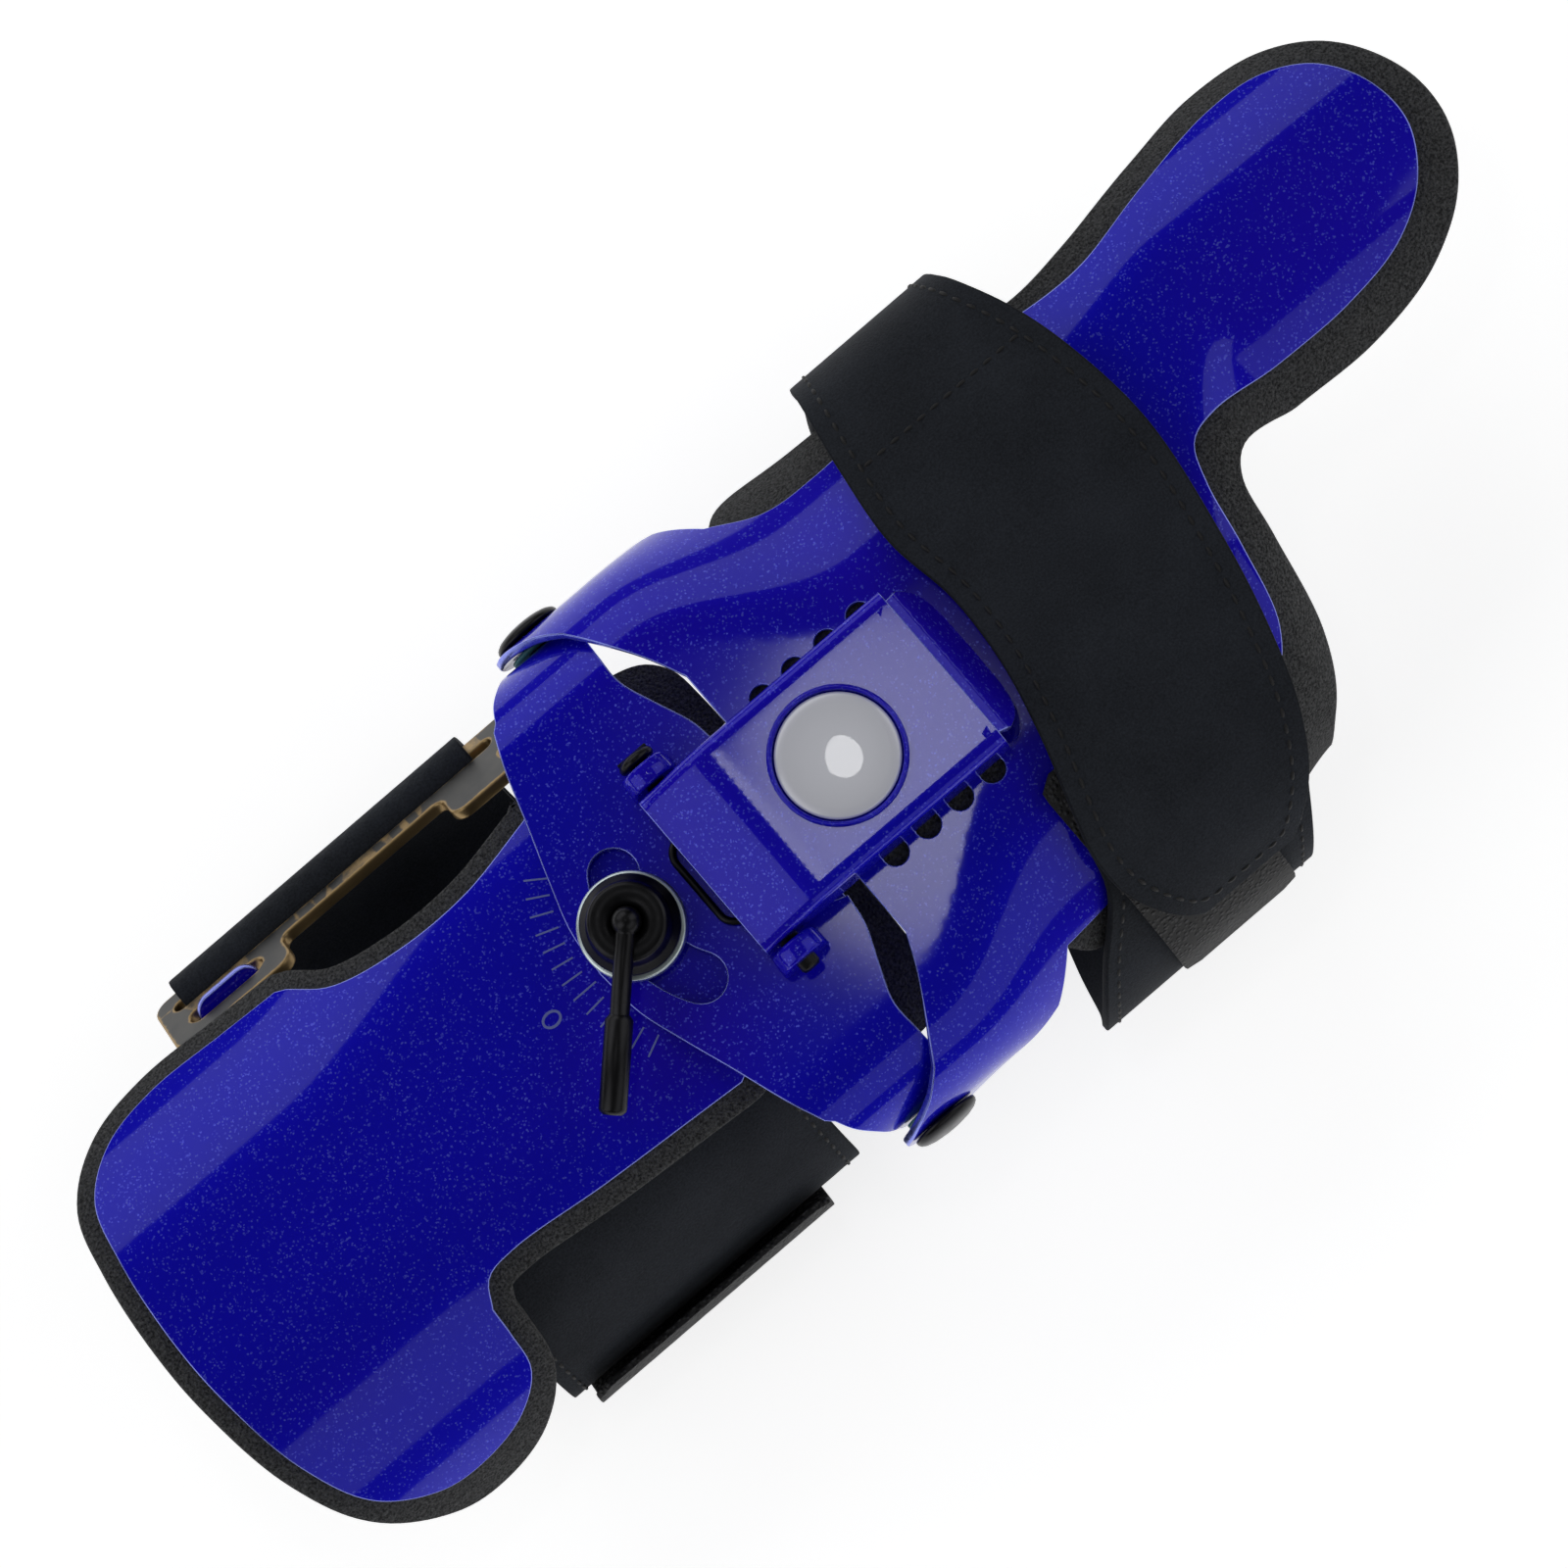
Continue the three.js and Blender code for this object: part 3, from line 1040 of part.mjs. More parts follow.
const HAND_STRAP_LOW = TABLE + STRAP_THICKNESS / 2;
const handStrapRows = [
  { y: -12, z: HAND_RISE + 1.5, middle: 68.5, width: 31 },
  { y: -23, z: HAND_RISE + 1, middle: 67.5, width: 35 },
  { y: -33, z: HAND_RISE - 2.6, middle: 65, width: 40 },
  { y: -43.3, z: HAND_RISE - 9.2, middle: 62.5, width: 41 },
  { y: -51, z: -16.4, middle: 56, width: 44 },
  { y: -55.5, z: -25, middle: 52, width: HAND_STRAP_WIDTH },
  { y: -57, z: -36, middle: 50, width: HAND_STRAP_WIDTH },
  { y: -54, z: -49, middle: 51, width: HAND_STRAP_WIDTH },
  { y: -45, z: -60.5, middle: 53, width: HAND_STRAP_WIDTH },
  { y: -32, z: -66.3, middle: 56, width: HAND_STRAP_WIDTH - 2 },
  { y: -20, z: HAND_STRAP_LOW, middle: 59, width: HAND_STRAP_WIDTH - 4 },
  { y: 0, z: HAND_STRAP_LOW, middle: 62, width: HAND_STRAP_WIDTH - 6 },
  { y: 20, z: HAND_STRAP_LOW, middle: 65, width: HAND_STRAP_WIDTH - 9 },
  { y: 32, z: -65.6, middle: 67, width: HAND_STRAP_WIDTH - 11 },
  { y: 44, z: -58, middle: 69, width: HAND_STRAP_WIDTH - 13 },
  { y: 51, z: -46, middle: 70, width: HAND_STRAP_WIDTH - 15 },
  { y: 53, z: -32, middle: 71, width: HAND_STRAP_WIDTH - 16 },
  { y: 52.4, z: -19, middle: 71, width: HAND_STRAP_WIDTH - 16 },
  { y: 50.4, z: -9.4, middle: 71, width: HAND_STRAP_WIDTH - 16 },
  { y: 45.8, z: -3.2, middle: 71, width: HAND_STRAP_WIDTH - 16 },
  { y: 39, z: 0.6, middle: 71, width: HAND_STRAP_WIDTH - 15 },
  { y: 32, z: 3.2, middle: 71, width: HAND_STRAP_WIDTH - 14 },
];

function handStrap() {
  return sweptBand(handStrapRows, STRAP_THICKNESS, 58);
}

const TAB_LIFT = 0.8;
const handTabRoute = [
  [-54.9, -17.3], [-51.6, -10.8], [-46.3, -4.6], [-38.6, 1], [-30.2, 4.9], [-20, 6.9], [-8, 7.6], [6, 7.6],
  [20, 7],
  [32, 5.6], [40, 3.4], [47.2, 0.2], [51.6, -5.2], [53.8, -12], [54.9, -20], [55.2, -25],
];

// The tab's outline, shares of the index reach and the pad's half width
const handTabOutline = [
  { x: 0.572, y: 1.3 }, { x: 0.562, y: 1.06 }, { x: 0.536, y: 0.75 }, { x: 0.52, y: 0.45 },
  { x: 0.538, y: 0.17 },
  { x: 0.53, y: -0.1 }, { x: 0.5, y: -0.37 }, { x: 0.457, y: -0.64 }, { x: 0.438, y: -0.78 },
  { x: 0.44, y: -0.93 },
  { x: 0.487, y: -1.08 }, { x: 0.575, y: -1.145 }, { x: 0.69, y: -1.13 }, { x: 0.785, y: -1.03 },
  { x: 0.85, y: -0.85 }, { x: 0.9, y: -0.57 }, { x: 0.94, y: -0.22 }, { x: 0.968, y: 0.2 },
  { x: 0.952, y: 0.55 }, { x: 0.922, y: 0.8 }, { x: 0.882, y: 1 }, { x: 0.86, y: 1.1 }, { x: 0.86, y: 1.3 },
];

function handTab() {
  const points = curvePoints(handTabRoute, 36).map((point) => new THREE.Vector2(point.x, point.y + TAB_LIFT));
  const outline = smoothRun(handTabOutline, INDEX_REACH_START, HAND_PAD_HALF_WIDTH, 2);
  return crossPrism(thickened(points, TAB_THICKNESS), 38, 102).intersect(prism(outline, -60, 30));
}

// The hook patch lies on the strap and shows along the tab's rear edge
function handHook() {
  const rows = handStrapRows.slice(1, 7).map((row) => ({ ...row, middle: 56, width: 24 }));
  return sweptBand(rows, HOOK_THICKNESS, 18, (STRAP_THICKNESS + HOOK_THICKNESS) / 2 + 1.3 * FIT);
}

// Materials and the scene graph
const finishes = {
  blue: { color: 0x1410a8, roughness: 0.22, metalness: 0.55 },
  foam: { color: 0x26272a, roughness: 0.95, metalness: 0 },
  strap: { color: 0x15181c, roughness: 0.75, metalness: 0 },
  tape: { color: 0x0b0c0e, roughness: 1, metalness: 0 },
  black: { color: 0x121212, roughness: 0.35, metalness: 0.8 },
  zinc: { color: 0x9aa5a8, roughness: 0.3, metalness: 0.9 },
  bronze: { color: 0x35332e, roughness: 0.4, metalness: 0.8 },
  teal: { color: 0x4f8f8c, roughness: 0.4, metalness: 0 },
  badge: { color: 0xd9dce2, roughness: 0.1, metalness: 0.1 },
};

const glove = new THREE.Group();
glove.position.z = CROWN_HEIGHT;

function place(name, shape, finish, parent = glove) {
  const geometry = shape.isBufferGeometry ? shape : geometryOf(shape);
  geometry.computeVertexNormals();
  const mesh = new THREE.Mesh(geometry, new THREE.MeshStandardMaterial(finishes[finish]));
  mesh.name = name;
  parent.add(mesh);
  return mesh;
}

const bolt = boltPlace();
const clamp = new THREE.Group();
clamp.position.set(bolt.x, bolt.y, 0);
glove.add(clamp);

place('forearm_plate', forearmPlate(), 'blue');
place('forearm_pad', forearmPad(), 'foam');
place('lateral_pivot', lateralPivot(), 'black');
place('buckle', buckle(), 'bronze');
place('forearm_strap', forearmStrap(), 'strap');
place('forearm_hook_tape', forearmTape(), 'tape');
place('wrist_bracket', wristBracket(), 'blue');
place('latch_pin', latchPin(), 'black');
place('latch_wire', latchWire(), 'black');
place('latch_cover', latchCover(), 'blue');
place('badge_disc', badgeDisc(), 'badge');
place('hand_plate', handPlate(), 'blue');
place('hand_pad', handPad(), 'foam');
place('hand_strap', handStrap(), 'strap');
place('hand_hook_patch', handHook(), 'tape');
place('hand_strap_tab', handTab(), 'strap');
[['left', 1], ['right', -1]].forEach(([side, way]) => {
  place(`pivot_rivet_${side}`, hingeRivet(way), 'black');
  place(`pivot_washer_${side}`, hingeWasher(way), 'teal');
});
place('clamp_bolt', clampBolt(), 'black', clamp);
place('clamp_washer', clampWasher(), 'zinc', clamp);
place('clamp_knob', clampKnob(), 'black', clamp);
const lever = place('clamp_lever', clampLever(), 'black', clamp);
lever.position.z = BALL_HEIGHT;
lever.rotation.set(0, Math.asin(LEVER_TIP_DROP / LEVER_LENGTH), rad(LEVER_ANGLE), 'ZYX');

// The frame's origin is the middle of the bounding box at table height
const bounds = new THREE.Box3().setFromObject(glove);
const middle = bounds.getCenter(new THREE.Vector3());
glove.position.set(-middle.x, -middle.y, CROWN_HEIGHT - bounds.min.z);

export default glove;
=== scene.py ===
"""Bowling glove on a pale studio floor: a sheet metal wrist positioner with foam pads and wrap straps.

Every plate, pad and band is a fine surface over a flat pattern: an outline is triangulated in the
pattern's own plane and then laid over a form. Lengths are in millimetres from the wrist bracket's crown
until a mesh is made.
"""

import logging
import math
from dataclasses import dataclass
from enum import Enum
from typing import Callable, Sequence

import bpy
import numpy as np
from mathutils import Matrix, Vector
from mathutils.geometry import delaunay_2d_cdt


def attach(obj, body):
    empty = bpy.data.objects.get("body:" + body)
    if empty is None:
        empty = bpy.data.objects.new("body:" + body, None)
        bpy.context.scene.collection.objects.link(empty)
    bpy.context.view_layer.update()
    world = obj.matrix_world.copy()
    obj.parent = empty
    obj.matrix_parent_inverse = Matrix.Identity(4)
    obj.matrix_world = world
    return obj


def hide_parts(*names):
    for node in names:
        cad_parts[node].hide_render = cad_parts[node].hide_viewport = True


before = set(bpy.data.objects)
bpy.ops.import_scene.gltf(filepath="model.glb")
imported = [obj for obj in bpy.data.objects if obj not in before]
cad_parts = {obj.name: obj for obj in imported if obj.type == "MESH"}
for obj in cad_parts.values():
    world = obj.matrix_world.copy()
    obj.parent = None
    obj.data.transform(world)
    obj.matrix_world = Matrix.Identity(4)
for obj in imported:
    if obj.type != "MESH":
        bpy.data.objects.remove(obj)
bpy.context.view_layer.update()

log = logging.getLogger("glove")

ORIGIN = np.array([-21.3127, 1.5152, 68.0])
SHEET = 1.5
GAP = 0.3
HINGE = (-2.3, -17.0)
SLOT_RADIUS = 20.5
BOLT_ANGLE = math.radians(173)
BOLT = (SLOT_RADIUS * math.cos(BOLT_ANGLE), SLOT_RADIUS * math.sin(BOLT_ANGLE))
HOLE_START, HOLE_PITCH, HOLE_OFFSET, HOLE_RADIUS, HOLE_COUNT = 20, 6.9, 16.6, 2.25, 4
BADGE_X = 23.1
LUGS = ((-85.5, 13.0), (-18.0, 8.5))
TABLE = -68.0

Array = np.ndarray
Mapping = Callable[[Array, Array, Array], Array]


class Finish(Enum):
    """The record's material slots."""

    BLUE = "plate_blue"
    FOAM = "pad_foam"
    STRAP = "strap_black"
    TAPE = "hook_tape"
    BLACK = "black_steel"
    ZINC = "zinc"
    BRONZE = "buckle_bronze"
    TEAL = "washer_teal"
    BADGE = "badge_silver"


# ---- curves and outlines


def smooth(rows: Sequence[Sequence[float]], step: float = 1.2) -> Array:
    """Run a centripetal curve through rows and space it evenly.

    Args:
        rows: Points of any dimension, in order.
        step: Spacing along the curve.

    Returns:
        The curve's points, the first and last rows included.
    """
    points = np.asarray(rows, float)
    ends = np.vstack([2 * points[0] - points[1], points, 2 * points[-1] - points[-2]])
    pieces = []
    for p0, p1, p2, p3 in zip(ends, ends[1:], ends[2:], ends[3:]):
        spans = [max(np.linalg.norm(b - a), 1e-6) ** 0.5 for a, b in ((p0, p1), (p1, p2), (p2, p3))]
        knots = np.cumsum([0.0] + spans)
        t = np.linspace(knots[1], knots[2], 17)[:-1, None]

        def mix(a: Array, b: Array, ta: float, tb: float) -> Array:
            return (tb - t) / (tb - ta) * a + (t - ta) / (tb - ta) * b

        a1, a2, a3 = mix(p0, p1, *knots[:2]), mix(p1, p2, *knots[1:3]), mix(p2, p3, *knots[2:4])
        b1, b2 = mix(a1, a2, knots[0], knots[2]), mix(a2, a3, knots[1], knots[3])
        pieces.append(mix(b1, b2, knots[1], knots[2]))
    return even(np.vstack(pieces + [points[-1:]]), step)


def even(points: Array, step: float) -> Array:
    """Space a polyline evenly.

    Args:
        points: The polyline.
        step: The spacing wanted.

    Returns:
        The polyline with even spacing and the same ends.
    """
    length = np.concatenate([[0], np.cumsum(np.linalg.norm(np.diff(points, axis=0), axis=1))])
    at = np.linspace(0, length[-1], max(int(round(length[-1] / step)), 2) + 1)
    return np.column_stack([np.interp(at, length, column) for column in points.T])


def arc(x: float, y: float, radius: float, start: float, end: float, count: int = 12) -> Array:
    """Points on an arc.

    Args:
        x: The centre's first coordinate.
        y: The centre's second coordinate.
        radius: The arc's radius.
        start: First angle in degrees.
        end: Last angle in degrees.
        count: How many points.

    Returns:
        The points, one row each.
    """
    angle = np.radians(np.linspace(start, end, count))
    return np.column_stack([x + radius * np.cos(angle), y + radius * np.sin(angle)])


def closed(*runs: Array, step: float = 1.2) -> Array:
    """Join runs into one closed outline that turns anticlockwise.

    Args:
        runs: Point runs in order.
        step: Spacing of the outline.

    Returns:
        The outline without a repeated last point.
    """
    points = np.vstack(runs)
    points = np.vstack([points, points[:1]])
    keep = np.concatenate([[True], np.linalg.norm(np.diff(points, axis=0), axis=1) > 1e-4])
    points = points[keep]
    dense = []
    for a, b in zip(points, points[1:]):
        count = max(int(np.linalg.norm(b - a) / step), 1)
        dense.append(a + (b - a) * np.linspace(0, 1, count + 1)[:-1, None])
    outline = np.vstack(dense)
    turn = np.sum(outline[:, 0] * np.roll(outline[:, 1], -1) - outline[:, 1] * np.roll(outline[:, 0], -1))
    return outline if turn > 0 else outline[::-1]


def inset(outline: Array, amount: float) -> Array:
    """Move an anticlockwise outline inward.

    Args:
        outline: The closed outline.
        amount: How far, in the outline's units.

    Returns:
        The moved outline, with the same number of points.
    """
    after, before = np.roll(outline, -1, 0), np.roll(outline, 1, 0)
    along = after - before
    along /= np.maximum(np.linalg.norm(along, axis=1, keepdims=True), 1e-9)
    return outline + amount * np.column_stack([-along[:, 1], along[:, 0]])


def inside(points: Array, loop: Array) -> Array:
    """Tell which points lie inside a closed loop.

    Args:
        points: Points to test.
        loop: The loop.

    Returns:
        One flag per point.
    """
    a, b = loop, np.roll(loop, -1, 0)
    found = np.zeros(len(points), bool)
    for chunk in range(0, len(points), 2000):
        p = points[chunk:chunk + 2000, None, :]
        spans = (a[None, :, 1] > p[..., 1]) != (b[None, :, 1] > p[..., 1])
        rise = np.where(b[:, 1] == a[:, 1], 1e-12, b[:, 1] - a[:, 1])
        cross = a[None, :, 0] + (p[..., 1] - a[None, :, 1]) * ((b - a)[None, :, 0] / rise[None])
        found[chunk:chunk + 2000] = (spans & (p[..., 0] < cross)).sum(1) % 2 == 1
    return found


def nearest(points: Array, loops: Sequence[Array]) -> Array:
    """Distance from each point to the nearest loop point.

    Args:
        points: Points to measure.
        loops: The loops.

    Returns:
        One distance per point.
    """
    edge = np.vstack(loops)
    if not len(points):
        return np.zeros(0)
    return np.concatenate([
        np.sqrt(((points[i:i + 1500, None, :] - edge[None]) ** 2).sum(-1)).min(1)
        for i in range(0, len(points), 1500)
    ])


# ---- meshes


@dataclass
class Shell:
    """Triangles with the attributes that the materials read."""

    points: Array
    faces: Array
    zones: Array
    flat: Array
    rim: Array
    normals: Array | None = None

    def shading(self) -> Array:
        """Shading normals, zero where Blender works them out."""
        return np.zeros_like(self.points) if self.normals is None else self.normals

    @staticmethod
    def joined(*shells: "Shell") -> "Shell":
        """Put shells together as one.

        Args:
            shells: The shells.

        Returns:
            One shell.
        """
        starts = np.cumsum([0] + [len(s.points) for s in shells])
        return Shell(
            np.vstack([s.points for s in shells]),
            np.vstack([s.faces + n for s, n in zip(shells, starts)]),
            np.concatenate([s.zones for s in shells]),
            np.vstack([s.flat for s in shells]),
            np.concatenate([s.rim for s in shells]),
            np.vstack([s.shading() for s in shells]),
        )

    def moved(self, matrix: Matrix) -> "Shell":
        """Turn and move the shell.

        Args:
            matrix: The placement, in millimetres.

        Returns:
            The placed shell.
        """
        placed = np.array(matrix, float)
        points = self.points @ placed[:3, :3].T + placed[:3, 3]
        return Shell(points, self.faces, self.zones, self.flat, self.rim, self.shading() @ placed[:3, :3].T)

    def object(self, name: str, materials: Sequence[bpy.types.Material],
               sharp: float = 32.0) -> bpy.types.Object:
        """Make the Blender object.

        Args:
            name: The object's name.
            materials: A material for each zone.
            sharp: Edges sharper than this many degrees stay crisp.

        Returns:
            The object, linked to the scene.
        """
        mesh = bpy.data.meshes.new(name)
        count = len(self.faces)
        mesh.vertices.add(len(self.points))
        mesh.vertices.foreach_set("co", ((self.points + ORIGIN) / 1000).astype(np.float32).ravel())
        mesh.loops.add(3 * count)
        mesh.loops.foreach_set("vertex_index", self.faces.astype(np.int32).ravel())
        mesh.polygons.add(count)
        mesh.polygons.foreach_set("loop_start", np.arange(0, 3 * count, 3, dtype=np.int32))
        mesh.polygons.foreach_set("material_index", self.zones.astype(np.int32))
        mesh.update(calc_edges=True)
        mesh.attributes.new("flat", "FLOAT_VECTOR", "POINT").data.foreach_set(
            "vector", (self.flat / 1000).astype(np.float32).ravel())
        mesh.attributes.new("rim", "FLOAT", "POINT").data.foreach_set("value", self.rim.astype(np.float32))
        for material in materials:
            mesh.materials.append(material)
        mesh.polygons.foreach_set("use_smooth", np.ones(count, bool))
        mesh.set_sharp_from_angle(angle=math.radians(sharp))
        if self.normals is not None:
            mesh.normals_split_custom_set_from_vertices(self.normals.astype(np.float32))
        made = bpy.data.objects.new(name, mesh)
        bpy.context.scene.collection.objects.link(made)
        return made


def pattern(
    outline: Array,
    mapping: Mapping,
    profile: Sequence[tuple[float, float]],
    step: float,
    holes: Sequence[Array] = (),
    rim_zone: int = 1,
    ease: float = 3.0,
) -> Shell:
    """Cut a sheet from its flat pattern and lay it over a form.

    Args:
        outline: The pattern's anticlockwise outline.
        mapping: Takes pattern coordinates and a lift to points in space.
        profile: The edge from the top face down to the bottom face, as inset and lift.
        step: Spacing of the inner points.
        holes: Anticlockwise outlines of holes.
        rim_zone: The material zone of the edge.
        ease: How far the shading eases a bend.

    Returns:
        The closed shell.
    """
    loops = [outline] + [hole[::-1] for hole in holes]
    low, high = outline.min(0), outline.max(0)
    rows = np.arange(low[1], high[1] + step, step * 0.866)
    grid = np.vstack([
        np.column_stack([np.arange(low[0], high[0] + step, step) + (i % 2) * step / 2, np.full(
            len(np.arange(low[0], high[0] + step, step)), y)])
        for i, y in enumerate(rows)
    ])
    grid = grid[inside(grid, outline)]
    for hole in holes:
        grid = grid[~inside(grid, hole)]
    spread = max(inset_amount for inset_amount, _ in profile)
    grid = grid[nearest(grid, loops) > spread + 0.55 * step]
    points, faces, zones, flats, normals = [], [], [], [], []
    count = 0

    def face(amount: float, lift: float, up: bool) -> list[Array]:
        nonlocal count
        edges = [inset(loop, amount) for loop in loops]
        flat = np.vstack(edges + [grid])
        starts = np.cumsum([0] + [len(e) for e in edges])
        border = [
            (int(a + i), int(a + (i + 1) % len(e))) for a, e in zip(starts, edges) for i in range(len(e))
        ]
        made = delaunay_2d_cdt([Vector(p) for p in flat], border, [], 0, 1e-7)
        index = np.array([source[0] if source else -1 for source in made[3]])
        triangles = index[np.array([list(f) for f in made[2] if len(f) == 3])]
        triangles = triangles[(triangles >= 0).all(1)]
        middle = flat[triangles].mean(1)
        keep = inside(middle, edges[0])
        for edge in edges[1:]:
            keep &= ~inside(middle, edge)
        triangles = triangles[keep]
        a, b, c = (flat[triangles[:, i]] for i in range(3))
        area = (b[:, 0] - a[:, 0]) * (c[:, 1] - a[:, 1]) - (b[:, 1] - a[:, 1]) * (c[:, 0] - a[:, 0])
        triangles[area < 0] = triangles[area < 0][:, ::-1]
        points.append(mapping(flat[:, 0], flat[:, 1], np.full(len(flat), lift)))
        flats.append(flat)
        normals.append(soft_normals(flat, mapping, lift, ease) * (1 if up else -1))
        faces.append((triangles if up else triangles[:, ::-1]) + count)
        zones.append(np.zeros(len(triangles), int))
        rings = [np.arange(a, b) + count for a, b in zip(starts, starts[1:])]
        count += len(flat)
        return rings

    above = face(*profile[0], True)
    for amount, lift in profile[1:-1]:
        below = []
        for loop in loops:
            moved = inset(loop, amount)
            points.append(mapping(moved[:, 0], moved[:, 1], np.full(len(moved), lift)))
            flats.append(moved)
            normals.append(np.zeros((len(moved), 3)))
            below.append(np.arange(len(moved)) + count)
            count += len(moved)
        join_rings(above, below, faces, zones, rim_zone)
        above = below
    join_rings(above, face(*profile[-1], False), faces, zones, rim_zone)
    flat = np.vstack(flats)
    shell = Shell(
        np.vstack(points), np.vstack(faces), np.concatenate(zones),
        np.column_stack([flat, np.zeros(len(flat))]), nearest(flat, loops) / 10, np.vstack(normals),
    )
    corners = shell.points[shell.faces[0]]
    normal = np.cross(corners[1] - corners[0], corners[2] - corners[0])
    if normal @ shell.normals[shell.faces[0][0]] < 0:
        shell.faces = shell.faces[:, ::-1]
    return shell


def soft_normals(flat: Array, mapping: Mapping, lift: float, reach: float = 3.0) -> Array:
    """Shading normals that ease the change from flat to bend.

    Args:
        flat: Pattern points.
        mapping: The pattern's mapping.
        lift: Lift of the face.
        reach: How far round each point the form is felt.

    Returns:
        Unit normals that point to growing lift.
    """
    total = np.zeros((len(flat), 3))
    for along, across in ((0, 0), (0, -reach), (0, reach), (-reach, 0), (reach, 0), (0, -reach / 2),
                          (0, reach / 2)):
        p, q = flat[:, 0] + along, flat[:, 1] + across
        low, high = (mapping(p, q, np.full(len(flat), lift + rise)) for rise in (0.0, 1.0))
        dp = mapping(p + 0.5, q, np.full(len(flat), lift)) - mapping(p - 0.5, q, np.full(len(flat), lift))
        dq = mapping(p, q + 0.5, np.full(len(flat), lift)) - mapping(p, q - 0.5, np.full(len(flat), lift))
        cross = np.cross(dp, dq)
        cross /= np.maximum(np.linalg.norm(cross, axis=1, keepdims=True), 1e-9)
        total += cross * np.sign(np.sum(cross * (high - low), axis=1, keepdims=True))
    return total / np.maximum(np.linalg.norm(total, axis=1, keepdims=True), 1e-9)


def join_rings(
    above: Sequence[Array], below: Sequence[Array], faces: list[Array], zones: list[Array], zone: int
) -> None:
    """Close the walls between matching rings.

    Args:
        above: Rings of vertex numbers.
        below: The matching lower rings.
        faces: Where the triangles are added.
        zones: Where their zones are added.
        zone: The walls' zone.
    """
    for a, b in zip(above, below):
        a1, b1 = np.roll(a, -1), np.roll(b, -1)
        faces.append(np.vstack([np.column_stack([a, b, b1]), np.column_stack([a, b1, a1])]))
        zones.append(np.full(2 * len(a), zone))


def lathe(profile: Sequence[tuple[float, float]], sides: int = 64, zone: int = 0) -> Shell:
    """Turn a profile about Z.

    Args:
        profile: Radius and height from the bottom round the outside to the top.
        sides: How many sides.
        zone: The material zone.

    Returns:
        The turned shell.
    """
    rows = np.array(profile, float)
    angle = np.linspace(0, 2 * np.pi, sides, endpoint=False)
    points = np.stack([
        rows[:, :1] * np.cos(angle), rows[:, :1] * np.sin(angle), np.repeat(rows[:, 1:], sides, 1)
    ], -1).reshape(-1, 3)
    number = np.arange(len(rows) * sides).reshape(len(rows), sides)
    a, b = number[:-1], number[1:]
    a1, b1 = np.roll(a, -1, 1), np.roll(b, -1, 1)
    faces = np.vstack([
        np.stack([a, a1, b1], -1).reshape(-1, 3),
        np.stack([a, b1, b], -1).reshape(-1, 3),
    ])
    first, second, third = (points[faces[:, i]] for i in range(3))
    solid = np.linalg.norm(np.cross(second - first, third - first), axis=1) > 1e-9
    faces = faces[solid]
    return Shell(points, faces, np.full(len(faces), zone), points.copy(), np.ones(len(points)))


def tube(path: Array, radius: float, sides: int = 10, zone: int = 0) -> Shell:
    """Run a round section along a path, with closed ends.

    Args:
        path: The path's points.
        radius: The section's radius.
        sides: Sides of the section.
        zone: The material zone.

    Returns:
        The tube.
    """
    along = np.gradient(path, axis=0)
    along /= np.linalg.norm(along, axis=1, keepdims=True)
    side = np.cross(along, [0.03, 0.05, 1.0])
    side /= np.linalg.norm(side, axis=1, keepdims=True)
    up = np.cross(side, along)
    angle = np.linspace(0, 2 * np.pi, sides, endpoint=False)
    ring = side[:, None] * np.cos(angle)[None, :, None] + up[:, None] * np.sin(angle)[None, :, None]
    points = np.vstack([(path[:, None] + radius * ring).reshape(-1, 3), path[:1], path[-1:]])
    number = np.arange(len(path) * sides).reshape(len(path), sides)
    a, b = number[:-1], number[1:]
    a1, b1 = np.roll(a, -1, 1), np.roll(b, -1, 1)
    start, end = len(path) * sides, len(path) * sides + 1
    faces = np.vstack([
        np.stack([a, b, b1], -1).reshape(-1, 3), np.stack([a, b1, a1], -1).reshape(-1, 3),
        np.column_stack([np.roll(number[0], -1), np.full(sides, start), number[0]]),
        np.column_stack([number[-1], np.full(sides, end), np.roll(number[-1], -1)]),
    ])
    return Shell(points, faces, np.full(len(faces), zone), points.copy(), np.ones(len(points)))


